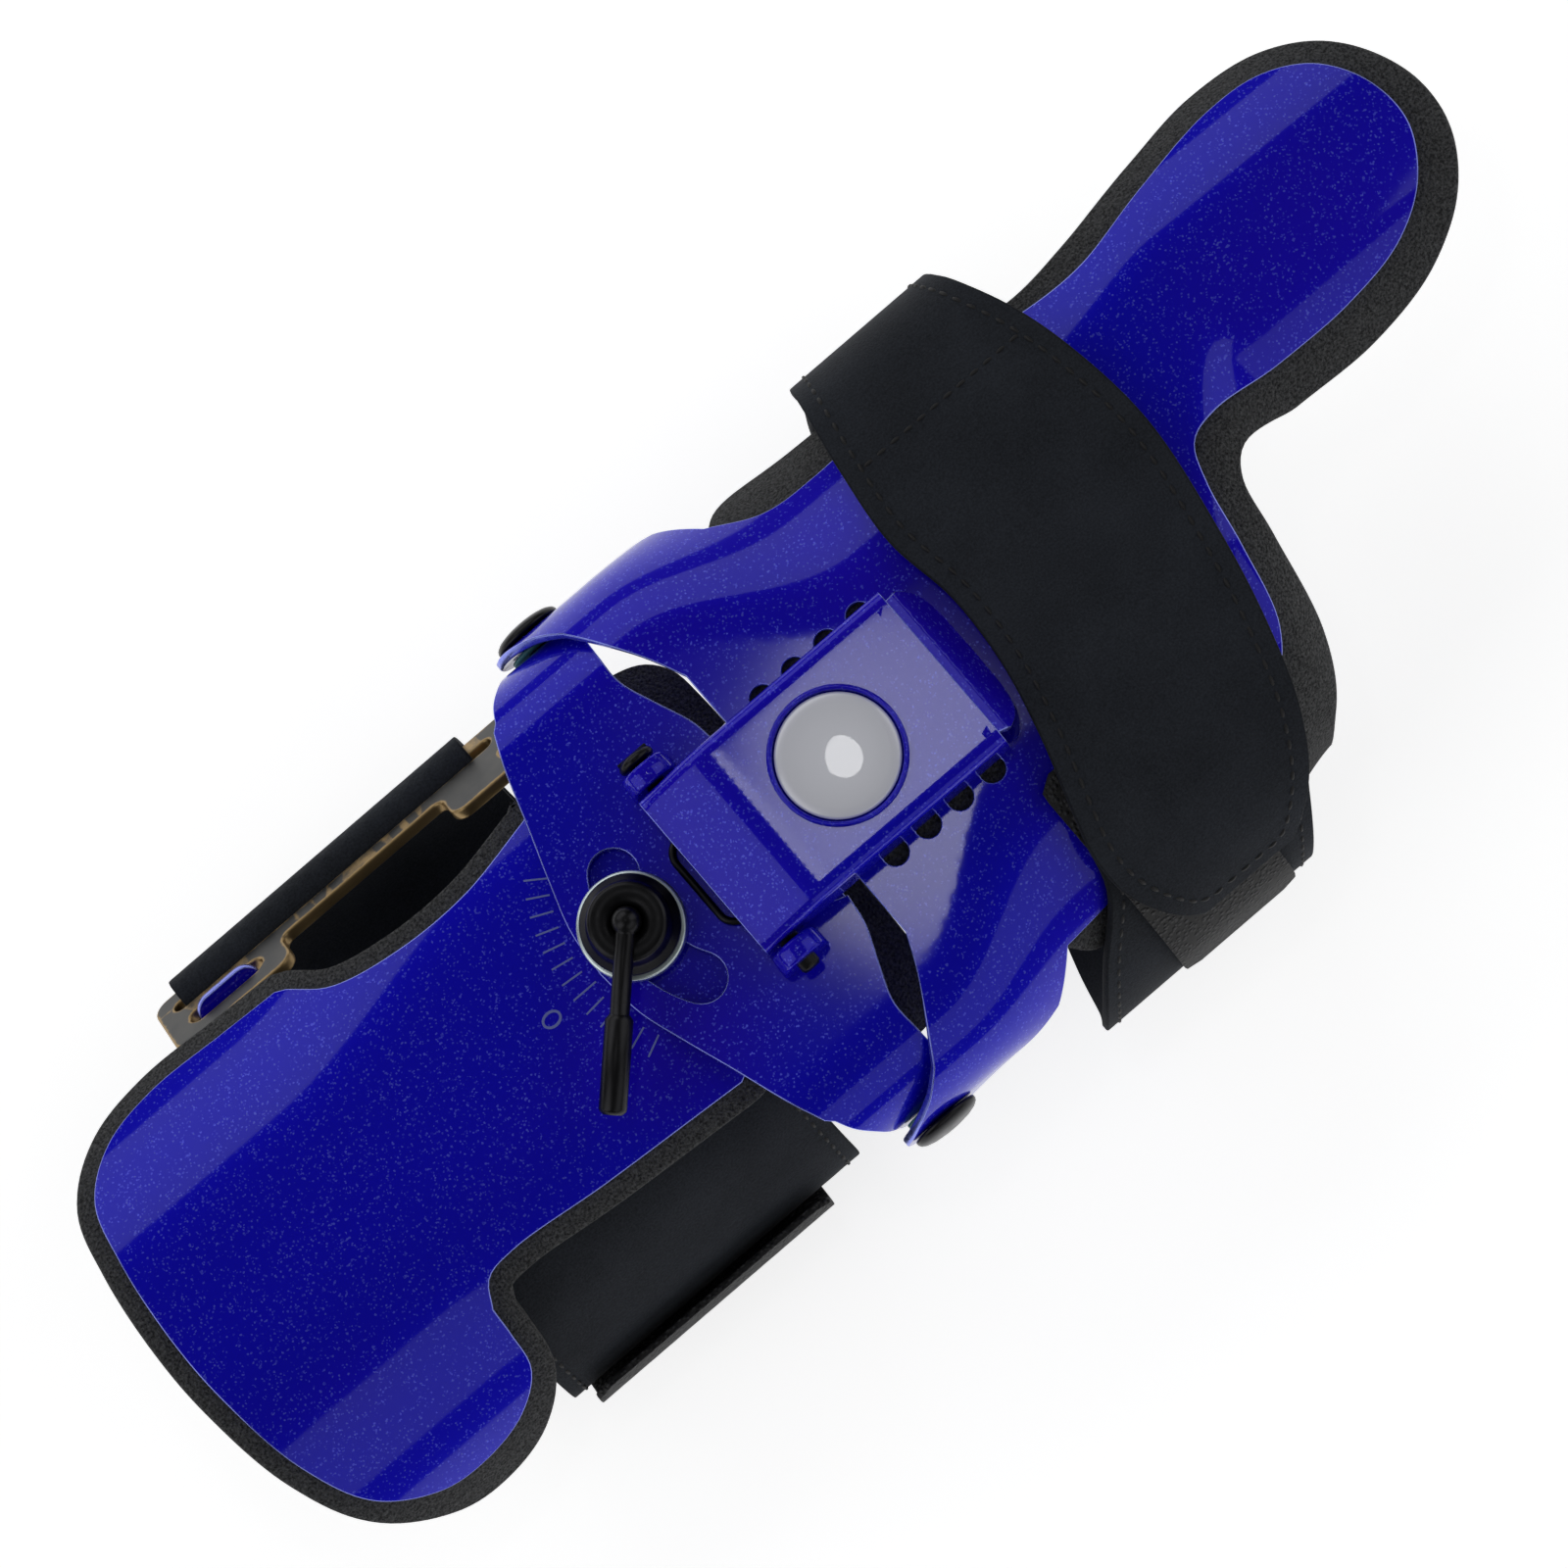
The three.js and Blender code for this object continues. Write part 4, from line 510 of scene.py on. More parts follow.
def stitches(path: Array, mapping: Mapping, lift: float, pitch: float = 2.9, length: float = 2.0) -> Shell:
    """Lay a row of thread stitches along a line of the pattern.

    Args:
        path: The seam line in pattern coordinates.
        mapping: The pattern's mapping.
        lift: Height of the thread's middle over the pattern.
        pitch: Distance from stitch to stitch.
        length: Length of one stitch.

    Returns:
        All stitches as one shell.
    """
    seam = even(path, pitch)
    middle = (seam[:-1] + seam[1:]) / 2
    run = seam[1:] - seam[:-1]
    reach = run / np.linalg.norm(run, axis=1, keepdims=True) * length / 2
    share = np.array([-1.0, -0.75, -0.3, 0.3, 0.75, 1.0])
    width = np.array([0.15, 0.75, 1.0, 1.0, 0.75, 0.15]) * 0.34
    angle = np.linspace(0, 2 * np.pi, 6, endpoint=False)
    flat = middle[:, None] + reach[:, None] * share[None, :, None]
    high = lift - 0.16 * share ** 2
    p, q = flat[..., 0].ravel(), flat[..., 1].ravel()
    centre = mapping(p, q, np.tile(high, len(middle))).reshape(-1, 6, 3)
    over = mapping(p, q, np.tile(high + 1, len(middle))).reshape(-1, 6, 3)
    up = over - centre
    along = np.gradient(centre, axis=1)
    side = np.cross(along, up)
    side /= np.linalg.norm(side, axis=2, keepdims=True)
    turn = angle[None, None, :, None]
    ring = side[:, :, None] * np.cos(turn) + up[:, :, None] * np.sin(turn)
    points = centre[:, :, None] + ring * width[None, :, None, None]
    number = np.arange(points.shape[0] * 36).reshape(-1, 6, 6)
    a, b = number[:, :-1], number[:, 1:]
    a1, b1 = np.roll(a, -1, 2), np.roll(b, -1, 2)
    caps = [
        np.stack([number[:, row, order[0]], number[:, row, order[1]], number[:, row, order[2]]], -1)
        for row, orders in ((0, ((0, 1, 2), (0, 2, 3), (0, 3, 4), (0, 4, 5))),
                            (5, ((2, 1, 0), (3, 2, 0), (4, 3, 0), (5, 4, 0))))
        for order in orders
    ]
    faces = np.vstack([np.stack([a, b1, b], -1).reshape(-1, 3),
                       np.stack([a, a1, b1], -1).reshape(-1, 3)] + caps)
    points = points.reshape(-1, 3)
    return Shell(points, faces, np.zeros(len(faces), int), points.copy(), np.ones(len(points)))


# ---- forms


@dataclass(frozen=True)
class Form:
    """A bent sheet's sections: flat between two starts, then an arc and a straight run down on each side."""

    rows: Array

    def section(self, x: Array) -> Array:
        """Blend the sections at stations.

        Args:
            x: Stations.

        Returns:
            Left start, left bend, right start, right bend and crown, a row each.
        """
        table = self.rows
        if len(table) == 1:
            return np.repeat(table[:, 1:].T, len(x), 1)
        after = np.clip(np.searchsorted(table[:, 0], x), 1, len(table) - 1)
        low, high = table[after - 1], table[after]
        share = np.clip((x - low[:, 0]) / (high[:, 0] - low[:, 0]), 0, 1)
        eased = (share ** 2 * (3 - 2 * share))[:, None]
        mixed = low[:, 1:] + (high[:, 1:] - low[:, 1:]) * eased
        slope = np.gradient(table[:, 5], table[:, 0])
        width = high[:, 0] - low[:, 0]
        s = share
        mixed[:, 4] = (
            (2 * s ** 3 - 3 * s ** 2 + 1) * low[:, 5] + (s ** 3 - 2 * s ** 2 + s) * width * slope[after - 1]
            + (3 * s ** 2 - 2 * s ** 3) * high[:, 5] + (s ** 3 - s ** 2) * width * slope[after]
        )
        return mixed.T

    def lay(self, x: Array, girth: Array, lift: Array) -> Array:
        """Lay pattern points over the form.

        Args:
            x: Stations.
            girth: Girths from the section's middle.
            lift: Lift along the form's normal.

        Returns:
            Points in space.
        """
        left, left_bend, right, right_bend, crown = self.section(x)
        middle = (left + right) / 2
        side = np.where(girth >= 0, 1.0, -1.0)
        start, bend = np.where(side > 0, left, right), np.where(side > 0, left_bend, right_bend)
        beyond = np.maximum(np.abs(girth) - np.abs(start - middle), 0)
        angle = np.minimum(beyond / bend, np.pi / 2)
        y = np.where(beyond > 0, start + side * (bend + lift) * np.sin(angle), middle + girth)
        z = crown - bend + (bend + lift) * np.cos(angle) - (beyond - angle * bend)
        return np.column_stack([x, y, z])

    def from_plan(self, plan: Array, lift: float = 0.0) -> Array:
        """Turn plan points into pattern points.

        Args:
            plan: X and Y of points on the form.
            lift: The lift of the surface that they lie on.

        Returns:
            Station and girth of each.
        """
        left, left_bend, right, right_bend, _ = self.section(plan[:, 0])
        middle = (left + right) / 2
        side = np.where(plan[:, 1] >= middle, 1.0, -1.0)
        start, bend = np.where(side > 0, left, right), np.where(side > 0, left_bend, right_bend)
        beyond = side * (plan[:, 1] - start)
        angle = np.arcsin(np.clip(beyond / (bend + lift), 0, 1))
        girth = np.where(beyond <= 0, plan[:, 1] - middle, side * (np.abs(start - middle) + angle * bend))
        return np.column_stack([plan[:, 0], girth])

    def from_side(self, points: Array, side: int) -> Array:
        """Turn points seen from the side into pattern points.

        Args:
            points: X and Z of points on one flank.
            side: 1 for the left flank and -1 for the right.

        Returns:
            Station and girth of each.
        """
        left, left_bend, right, right_bend, crown = self.section(points[:, 0])
        start, bend = (left, left_bend) if side > 0 else (right, right_bend)
        drop = crown - points[:, 1]
        angle = np.arccos(np.clip(1 - drop / bend, 0, 1))
        girth = np.abs(start - (left + right) / 2) + angle * bend + np.maximum(drop - bend, 0)
        return np.column_stack([points[:, 0], side * girth])


FOREARM = Form(np.array([[-85, 6, 48, -6, 48, -2.7], [-35, 14, 48, -14, 48, -2.7]], float))
BRACKET = Form(np.array([[0, 35.5, 14, -35.5, 14, 0]], float))
WING = Form(np.array([
    [-24, 14, 48, -14, 48, -2.7], [-14, 14, 48, -14, 48, -2.7], [13, 14, 48, -14, 48, -11.7],
], float))
RISE = 3.1
HAND = Form(np.array([
    [10, 35.5, 17.1, -35.5, 17.1, RISE], [46, 16, 38, -16, 38, RISE], [62, 16, 38, -16, 38, RISE - 0.2],
    [90, 20, 38, -3, 44, RISE - 1.5], [118, 26, 30, 20, 30, RISE - 4], [142, 26, 30, 20, 30, RISE - 7.4],
    [175, 26, 30, 20, 30, RISE - 13.4],
], float))

EDGE = [(0.22, 0.0), (0.06, -0.07), (0.0, -0.28), (0.0, -1.22), (0.22, -1.5)]
FOAM_EDGE = [(1.0, 0.0), (0.4, -0.22), (0.08, -0.8), (0.0, -1.8), (0.0, -2.9), (0.08, -3.7), (0.4, -4.28),
             (1.0, -4.5)]


def lifted(mapping: Mapping, amount: float) -> Mapping:
    """Shift a mapping along its normal.

    Args:
        mapping: The mapping.
        amount: The shift.

    Returns:
        The shifted mapping.
    """
    return lambda p, q, lift: mapping(p, q, lift + amount)


# ---- outlines of the plates and pads, X and Y in millimetres

FOREARM_LEFT = [(-22.8, 28.3), (-38.1, 25.3), (-52.3, 25.6), (-64.5, 28.6), (-70.6, 33.6)]
FOREARM_REAR = [
    (-72.4, 34.6), (-84, 35.3), (-98.6, 35.8), (-109.5, 33.4), (-117.1, 27), (-119.9, 16.5), (-121.7, 0),
    (-121.5, -12.4), (-119.3, -28.4), (-114.4, -39.4), (-105.3, -44.9), (-96.1, -45.8), (-86.4, -44),
    (-80.3, -39.8), (-78.9, -33.4),
]
FOREARM_WAIST = [(-78.5, -29.3), (-75.5, -25.2), (-69.4, -24.3), (-51.1, -26.1), (-23.4, -28)]
BRACKET_REAR = [(-29.5, 0), (-28.7, 8.6), (-26.3, 16.5), (-23, 26), (-19.8, 35.6), (-17.2, 42)]
BRACKET_TONGUE = [(-14.6, -4.4), (-12.1, -8), (-10, -12.6)]
BRACKET_FRONT_TONGUE = [(5.4, -12.4), (4.9, -8), (4.3, -4)]
BRACKET_FRONT = [(4.1, 41), (4, 34.6), (6.2, 28.4), (8.8, 21.8), (9.6, 16.5)]
HAND_REAR = [(12.8, 27.6), (10.05, 33.6), (5.5, 41.4), (1.9, 47)]
HAND_ARM = [(-2.0, -5.2), (-6.4, -9.6), (-9.0, -13.8)]
HAND_ARM_LOW = [(4.6, -20), (9.5, -17), (17, -14.6), (24, -12.6)]
HAND_LEFT = [
    (30.9, 45.8), (39.8, 41.2), (50.3, 40.3), (74.7, 41.4), (92.6, 38.2), (105.5, 37.7), (121.8, 41.4),
    (138, 44.4), (148.6, 43.7), (156.7, 39.1), (161.6, 30.6), (162.1, 21.2), (156.7, 12.4), (147.8, 6.9),
    (134.8, 4.4), (120.2, 4.1), (106.4, 4.6), (100.7, 2.8), (97.8, -3.7), (95.5, -15.2), (91.8, -28.5),
    (84.4, -35.9), (68.2, -41.9), (48.7, -43.7), (31.5, -45.6),
]
HAND_PAD = [
    (27.8, 30.4), (29, 42.1), (33.7, 48.3), (50.5, 48.3), (74.1, 46.6), (91.8, 42.1), (106.1, 43.4),
    (122.9, 47), (138.1, 49.7), (151.6, 48), (162, 40.7), (168.1, 27), (167.1, 16.2), (160.8, 6.9),
    (149.9, 0.5), (134.7, -2.5), (117.9, -2.5), (106.9, -2.5), (103.1, -6.4), (101, -16.7), (97.3, -33.3),
    (90.9, -43.1), (80.8, -48.3), (60.6, -48.3), (40.4, -48.3), (33.7, -48.3), (29, -42.1), (27.8, -30.4),
]
PAD_WINGS = [
    (-22, -27.5), (-14, -33), (-8, -36.6), (-2, -38.9), (5, -39.2), (9, -37.4), (11.8, -33.4), (12.6, -27),
    (12.8, -10), (12.8, 0), (12.8, 10), (12.6, 27), (11.8, 33.4), (9, 37.4), (5, 39.2), (1, 39.4),
    (-1, 37.6), (-2.4, 33), (-6, 29.8), (-22, 28.4),
]
TAB = [
    (57.2, 63.7), (56.2, 51.9), (53.6, 36.8), (52, 22), (53.8, 8.3), (53, -4.9), (50, -18.1), (45.7, -31.4),
    (43.8, -38.2), (44, -45.6), (48.7, -52.9), (57.5, -56.1), (69, -55.4), (78.5, -50.5), (85, -41.6),
    (90, -27.9), (94, -10.8), (96.8, 9.8), (95.2, 27), (92.2, 39.2), (88.2, 49), (86, 53.9), (86, 63.7),
]


def forearm_outline(margin: float = 0.0) -> Array:
    """Outline of the forearm plate in plan.

    Args:
        margin: How far outside the plate's edge.

    Returns:
        The closed outline.
    """
    outline = closed(
        arc(0, 0, 21, -108, -64, 12), arc(0, 0, 21, 64, 100, 10),
        np.array([(-8, 30.5), (-9.6, 32.6), (-11.2, 33), (-17, 33), (-18.6, 32.2), (-19.6, 30.4)]),
        smooth(FOREARM_LEFT), smooth(FOREARM_REAR), smooth(FOREARM_WAIST),
    )
    return inset(outline, -margin) if margin else outline


def bracket_outline() -> Array:
    """Outline of the wrist bracket in its pattern.

    Returns:
        The closed outline.
    """
    flank = np.vstack([
        BRACKET.from_plan(smooth(BRACKET_REAR)),
        smooth(BRACKET.from_side(np.array([(-16.4, -1.7)] + BRACKET_TONGUE), 1))[1:],
        BRACKET.from_side(arc(*HINGE, 6.6, 172, 352, 26), 1),
        smooth(BRACKET.from_side(np.array(BRACKET_FRONT_TONGUE), 1)),
        BRACKET.from_plan(smooth(BRACKET_FRONT)),
        np.array([(6, 15.2), (6, 0)]),
    ])
    other = flank[::-1] * [1, -1]
    return closed(flank, other[1:-1])


def hand_outline() -> Array:
    """Outline of the hand plate in its pattern.

    Returns:
        The closed outline.
    """
    def arm(side: int) -> Array:
        return np.vstack([
            HAND.from_plan(smooth(HAND_REAR) * [1, side]),
            smooth(HAND.from_side(np.array(HAND_ARM), side)),
            HAND.from_side(arc(*HINGE, 7.5, 172, 318, 24), side),
            smooth(HAND.from_side(np.array(HAND_ARM_LOW), side)),
        ])
    notch = np.array([(12.8, 15.2), (14.8, 13.6), (23.8, 10.6), (23.8, -10.6), (14.8, -13.6),
                      (12.8, -15.2)])
    return closed(HAND.from_plan(notch[::-1]), arm(1), HAND.from_plan(smooth(HAND_LEFT)), arm(-1)[::-1])


def pad_pattern(form: Form, outline: Array, lift: float) -> Array:
    """Turn a pad's plan outline into its pattern.

    Args:
        form: The form that it lies under.
        outline: The outline in plan, on the pad's upper face.
        lift: The upper face's lift.

    Returns:
        The pattern's outline.
    """
    return closed(form.from_plan(outline, lift))


# ---- buckle plane and bands

SLOPE = math.radians(55)
BUCKLE = np.array([37.5, -19.4])
ALONG = np.array([math.cos(SLOPE), -math.sin(SLOPE)])
NORMAL = np.array([math.sin(SLOPE), math.cos(SLOPE)])


def buckle_point(along: float, lift: float) -> tuple[float, float]:
    """A point in the buckle's plane.

    Args:
        along: Distance out along the buckle.
        lift: Distance off its middle plane.

    Returns:
        Y and Z.
    """
    point = BUCKLE + along * ALONG + lift * NORMAL
    return float(point[0]), float(point[1])


def buckle_lay(p: Array, q: Array, lift: Array) -> Array:
    """Lay the buckle's pattern in its plane.

    Args:
        p: Distances along X from the rear end.
        q: Distances out along the buckle.
        lift: Lift off its upper face.

    Returns:
        Points in space.
    """
    yz = BUCKLE + q[:, None] * ALONG + (lift[:, None] + 1.1) * NORMAL
    return np.column_stack([-91.3 + p, yz])


@dataclass(frozen=True)
class Band:
    """A band's route: rows of Y, Z, middle in X and width, resampled by length."""

    table: Array

    @staticmethod
    def through(rows: Sequence[Sequence[float]], keep_low: bool = True) -> "Band":
        """Make a band through listed rows.

        Args:
            rows: Y, Z, middle and width of each row.
            keep_low: Keep the route from dipping under its lowest row.

        Returns:
            The band.
        """
        table = np.asarray(rows, float)
        scaled = table * [1, 1, 0.2, 0.2]
        route = smooth(scaled, 0.8) / [1, 1, 0.2, 0.2]
        if keep_low:
            route[:, 1] = np.maximum(route[:, 1], table[:, 1].min())
        return Band(route)

    @property
    def lengths(self) -> Array:
        """Length along the route at each row."""
        steps = np.linalg.norm(np.diff(self.table[:, :2], axis=0), axis=1)
        return np.concatenate([[0], np.cumsum(steps)])

    def lay(self, s: Array, x: Array, lift: Array) -> Array:
        """Lay the band's pattern along its route.

        Args:
            s: Lengths along the route.
            x: Positions in X.
            lift: Lift off the middle layer, outward.

        Returns:
            Points in space.
        """
        length = self.lengths
        yz = np.column_stack([np.interp(s, length, self.table[:, i]) for i in (0, 1)])
        turn = np.gradient(self.table[:, :2], length, axis=0)
        turn /= np.linalg.norm(turn, axis=1, keepdims=True)
        direction = np.column_stack([np.interp(s, length, turn[:, i]) for i in (0, 1)])
        direction /= np.linalg.norm(direction, axis=1, keepdims=True)
        normal = np.column_stack([direction[:, 1], -direction[:, 0]])
        return np.column_stack([x, yz + lift[:, None] * normal])

    def outline(self, start: float = 0.0, end: float = 1.0, corner: float = 4.0,
                trim: float = 0.0) -> Array:
        """The band's outline in its pattern.

        Args:
            start: Where it starts, as a share of the route.
            end: Where it ends.
            corner: Radius of its corners.
            trim: How much narrower on each side.

        Returns:
            The closed outline, as length and X.
        """
        length = self.lengths
        s0, s1 = start * length[-1] + trim, end * length[-1] - trim
        s = np.linspace(s0, s1, int((s1 - s0) / 2) + 2)
        middle, width = (np.interp(s, length, self.table[:, i]) for i in (2, 3))
        near = np.minimum(s - s0, s1 - s)
        cut = np.where(near < corner, corner - np.sqrt(np.maximum(corner ** 2 - (corner - near) ** 2, 0)),
                       0)
        half = width / 2 - trim - cut
        low = np.column_stack([s, middle - half])
        high = np.column_stack([s, middle + half])
        return closed(low, high[::-1], step=2.0)


BAND_EDGE = [(0.35, 0.8), (0.1, 0.7), (0.0, 0.4), (0.0, -0.4), (0.1, -0.7), (0.35, -0.8)]
FOLD = -54.6
INNER = TABLE + 0.8 + 1.6 + 1.2 + 0.6
OUTER = TABLE + 0.8
FOREARM_BAND = [
    (-16, -11.4, -48.5, 63), (-23, -14.8, -48.5, 63), (-32, -22.2, -48.5, 63), (-38.3, -31.3, -48.5, 63),
    (-42.3, -39.6, -48.5, 63), (-44.4, -48, -48.5, 63), (-42, -56, -49, 63), (-34, -61.4, -49.5, 63),
    (-22, INNER, -50, 63), (0, INNER, -51.5, 63), (22, INNER, -53, 63), (34, -62, -54, 63),
    (42, -56.6, FOLD, 63), (46, -49, FOLD, 63), (46.2, -41.5, FOLD, 63),
    (*buckle_point(16.4, -4), FOLD, 63), (*buckle_point(13.25, -2.4), FOLD, 63),
    (*buckle_point(12.95, 0), FOLD, 63), (*buckle_point(13.45, 2.3), FOLD, 63),
    (*buckle_point(16.4, 3), FOLD, 63), (*buckle_point(19.9, 1.4), FOLD, 63), (50.9, -40, FOLD, 63),
    (50.4, -49, FOLD, 63), (46.5, -58.4, FOLD, 63), (38, -65, -54, 63), (26, OUTER, -53, 63),
    (0, OUTER, -51.5, 63), (-22, OUTER, -50, 63), (-33, -66.2, -49.5, 63),
]
TAPE_Z = OUTER + 0.8 + 0.6 + GAP
FOREARM_TAPE = [
    (-14, TAPE_Z, -51.3, 51), (-22, TAPE_Z, -51.3, 51), (-36, -62.8, -51.3, 51), (-44, -57.4, -51.3, 51),
    (-48.2, -49, -51.3, 51), (-47.7, -42, -51.3, 51),
]
HAND_BAND = [
    (-12, RISE + 1.5, 68.5, 31), (-23, RISE + 1, 67.5, 35), (-33, RISE - 2.6, 65, 40),
    (-43.3, RISE - 9.2, 62.5, 41), (-51, -16.4, 56, 44), (-55.5, -25, 52, 45), (-57, -36, 50, 45),
    (-54, -49, 51, 45), (-45, -60.5, 53, 45), (-32, -66.3, 56, 43), (-20, OUTER, 59, 41),
    (0, OUTER, 62, 39), (20, OUTER, 65, 36), (32, -65.6, 67, 34), (44, -58, 69, 32), (51, -46, 70, 30),
    (53, -32, 71, 29), (52.4, -19, 71, 29), (50.4, -9.4, 71, 29), (45.8, -3.2, 71, 29), (39, 0.6, 71, 30),
    (32, 3.2, 71, 31),
]
TAB_ROUTE = [
    (-54.9, -17.3), (-51.6, -10.8), (-46.3, -4.6), (-38.6, 1), (-30.2, 4.9), (-20, 6.9), (-8, 7.6),
    (6, 7.6), (20, 7), (32, 5.6), (40, 3.4), (47.2, 0.2), (51.6, -5.2), (53.8, -12), (54.9, -20),
    (55.2, -25),
]


# ---- materials


class Socket:
    """A shader value that does maths by making nodes."""

    def __init__(self, graph: "Graph", socket: bpy.types.NodeSocket) -> None:
        """Wrap an output socket.

        Args:
            graph: The graph that it belongs to.
            socket: The output socket.
        """
        self.graph = graph
        self.socket = socket

    def _math(self, operation: str, *others: object) -> "Socket":
        return self.graph.node("ShaderNodeMath", 0, [self, *others], operation=operation)

    def __add__(self, other: object) -> "Socket":
        return self._math("ADD", other)

    def __sub__(self, other: object) -> "Socket":
        return self._math("SUBTRACT", other)

    def __mul__(self, other: object) -> "Socket":
        return self._math("MULTIPLY", other)

    def __pow__(self, other: object) -> "Socket":
        return self._math("POWER", other)

    __radd__ = __add__
    __rmul__ = __mul__

    def ramp(self, low: float, high: float, start: float = 0.0, end: float = 1.0) -> "Socket":
        """Map a range to another, held at its ends.

        Args:
            low: Input that gives start.
            high: Input that gives end.
            start: Output at low.
            end: Output at high.

        Returns:
            The mapped value.
        """
        return self.graph.node("ShaderNodeMapRange", 0, [self, low, high, start, end], clamp=True)


class Graph:
    """A material's node graph, with one Principled shader."""

    def __init__(self, name: str) -> None:
        """Start a material.

        Args:
            name: The material's name.
        """
        self.material = bpy.data.materials.new(name)
        self.material.use_nodes = True
        self.tree = self.material.node_tree
        self.shader = self.tree.nodes["Principled BSDF"]

    def node(self, kind: str, output: object, inputs: object = (), **options: object) -> Socket:
        """Make any node.

        Args:
            kind: The node's type name.
            output: Number or name of the output wanted.
            inputs: Values or sockets, in order or by name.
            options: Settings of the node.

        Returns:
            The output.
        """
        made = self.tree.nodes.new(kind)
        for name, value in options.items():
            setattr(made, name, value)
        pairs = inputs.items() if isinstance(inputs, dict) else enumerate(inputs)
        for key, value in pairs:
            self.set(made.inputs[key], value)
        return Socket(self, made.outputs[output])

    def set(self, target: bpy.types.NodeSocket, value: object) -> None:
        """Link or fill an input.

        Args:
            target: The input.
            value: A socket or a plain value.
        """
        if isinstance(value, Socket):
            self.tree.links.new(value.socket, target)
        else:
            target.default_value = value

    def finish(self, **values: object) -> bpy.types.Material:
        """Fill the shader's inputs.

        Args:
            values: Inputs by name, with underscores for spaces.

        Returns:
            The material.
        """
        for name, value in values.items():
            self.set(self.shader.inputs[name.replace("_", " ")], value)
        return self.material

    @property
    def place(self) -> Socket:
        """Object coordinates."""
        return self.node("ShaderNodeTexCoord", "Object")

    def attribute(self, name: str, output: str = "Fac") -> Socket:
        """Read an attribute.

        Args:
            name: The attribute's name.
            output: Which output.

        Returns:
            Its value.
        """
        return self.node("ShaderNodeAttribute", output, attribute_name=name)

    def noise(self, scale: float, detail: float = 2.0, rough: float = 0.5,
              at: Socket | None = None) -> Socket:
        """Fractal noise.

        Args:
            scale: Cells per metre.
            detail: Octaves.
            rough: Roughness of the octaves.
            at: Coordinates, object coordinates if left out.

        Returns:
            The noise, about 0 to 1.
        """
        values = {"Vector": at or self.place, "Scale": scale, "Detail": detail, "Roughness": rough}
        return self.node("ShaderNodeTexNoise", 0, values)

    def cells(self, scale: float, output: str = "Distance") -> Socket:
        """Voronoi cells.

        Args:
            scale: Cells per metre.
            output: Distance or Color.

        Returns:
            The output.
        """
        return self.node("ShaderNodeTexVoronoi", output, {"Vector": self.place, "Scale": scale})

    def mix(self, share: object, first: object, second: object) -> Socket:
        """Mix two colours.

        Args:
            share: The second colour's share.
            first: First colour.
            second: Second colour.

        Returns:
            The colour.
        """
        made = self.tree.nodes.new("ShaderNodeMix")
        made.data_type = "RGBA"
        for key, value in ((0, share), (6, first), (7, second)):
            self.set(made.inputs[key], value)
        return Socket(self, made.outputs[2])

    def bump(self, height: Socket, strength: float, distance: float) -> Socket:
        """Turn a height into a normal.

        Args:
            height: The height.
            strength: Strength, 0 to 1.
            distance: Height of one unit in metres.

        Returns:
            The normal.
        """
        return self.node("ShaderNodeBump", 0,
                         {"Height": height, "Strength": strength, "Distance": distance})


def rgb(red: float, green: float, blue: float) -> tuple[float, float, float, float]:
    """A colour with full alpha.

    Args:
        red: Red, linear.
        green: Green, linear.
        blue: Blue, linear.

    Returns:
        Four numbers.
    """
    return red, green, blue, 1.0


def blue_paint() -> bpy.types.Material:
    """Candy blue enamel with fine flake."""
    g = Graph("candy_blue")
    streak = g.noise(9, 2).ramp(0.42, 0.68)
    flake = g.cells(3600, "Color")
    glint = g.node("ShaderNodeSeparateColor", 0, [flake]).ramp(0.90, 0.99)
    base = g.mix(streak * 0.45, rgb(0.005, 0.003, 0.58), rgb(0.050, 0.003, 0.46))
    base = g.mix(glint * 0.6, base, rgb(0.14, 0.17, 1.0))
    fleck = g.node("ShaderNodeSeparateColor", 1, [flake])
    return g.finish(
        Base_Color=base, Metallic=0.35, Roughness=glint.ramp(0, 1, 0.42, 0.25), Coat_Weight=1.0,
        Coat_Roughness=0.07, Coat_IOR=1.36, Specular_IOR_Level=0.0, Normal=g.bump(fleck, 0.25, 0.00005),
    )


def edge_highlight_paint() -> bpy.types.Material:
    """Lighter blue paint at the plates' edges, a painted highlight along their rounded edges."""
    g = Graph("edge_painted_highlight")
    grain = g.noise(900, 2)
    return g.finish(
        # The lighter metallic blue paints the highlight of the rounded edge; the real edge is the same blue
        # paint.
        Base_Color=rgb(0.26, 0.30, 0.85), Metallic=0.9, Roughness=grain.ramp(0.3, 0.7, 0.22, 0.36),
    )


def foam() -> bpy.types.Material:
    """Grainy charcoal foam."""
    g = Graph("foam")
    grain = g.cells(1500)
    speck = g.noise(2100, 3, 0.7)
    tone = speck.ramp(0.35, 0.75)
    height = grain.ramp(0, 0.6) * 0.6 + speck * 0.7
    return g.finish(
        Base_Color=g.mix(tone, rgb(0.014, 0.0142, 0.015), rgb(0.125, 0.127, 0.13)), Roughness=0.93,
        Specular_IOR_Level=0.25, Normal=g.bump(height, 0.75, 0.0005),
    )


def suede(name: str = "strap", dark: float = 1.0) -> bpy.types.Material:
    """Matte black synthetic strap.

    Args:
        name: The material's name.
        dark: Brightness factor.

    Returns:
        The material.
    """
    g = Graph(name)
    nap = g.noise(2600, 3, 0.65)
    cloud = g.noise(70, 3)
    tone = nap.ramp(0.3, 0.75) * 0.7 + cloud.ramp(0.3, 0.7) * 0.3
    return g.finish(
        Base_Color=g.mix(tone, rgb(0.011 * dark, 0.0125 * dark, 0.016 * dark),
                         rgb(0.036 * dark, 0.041 * dark, 0.052 * dark)),
        Roughness=0.85, Specular_IOR_Level=0.12, Sheen_Weight=0.03, Sheen_Roughness=0.5,
        Normal=g.bump(nap + g.cells(1900) * 0.5, 0.45, 0.00022),
    )


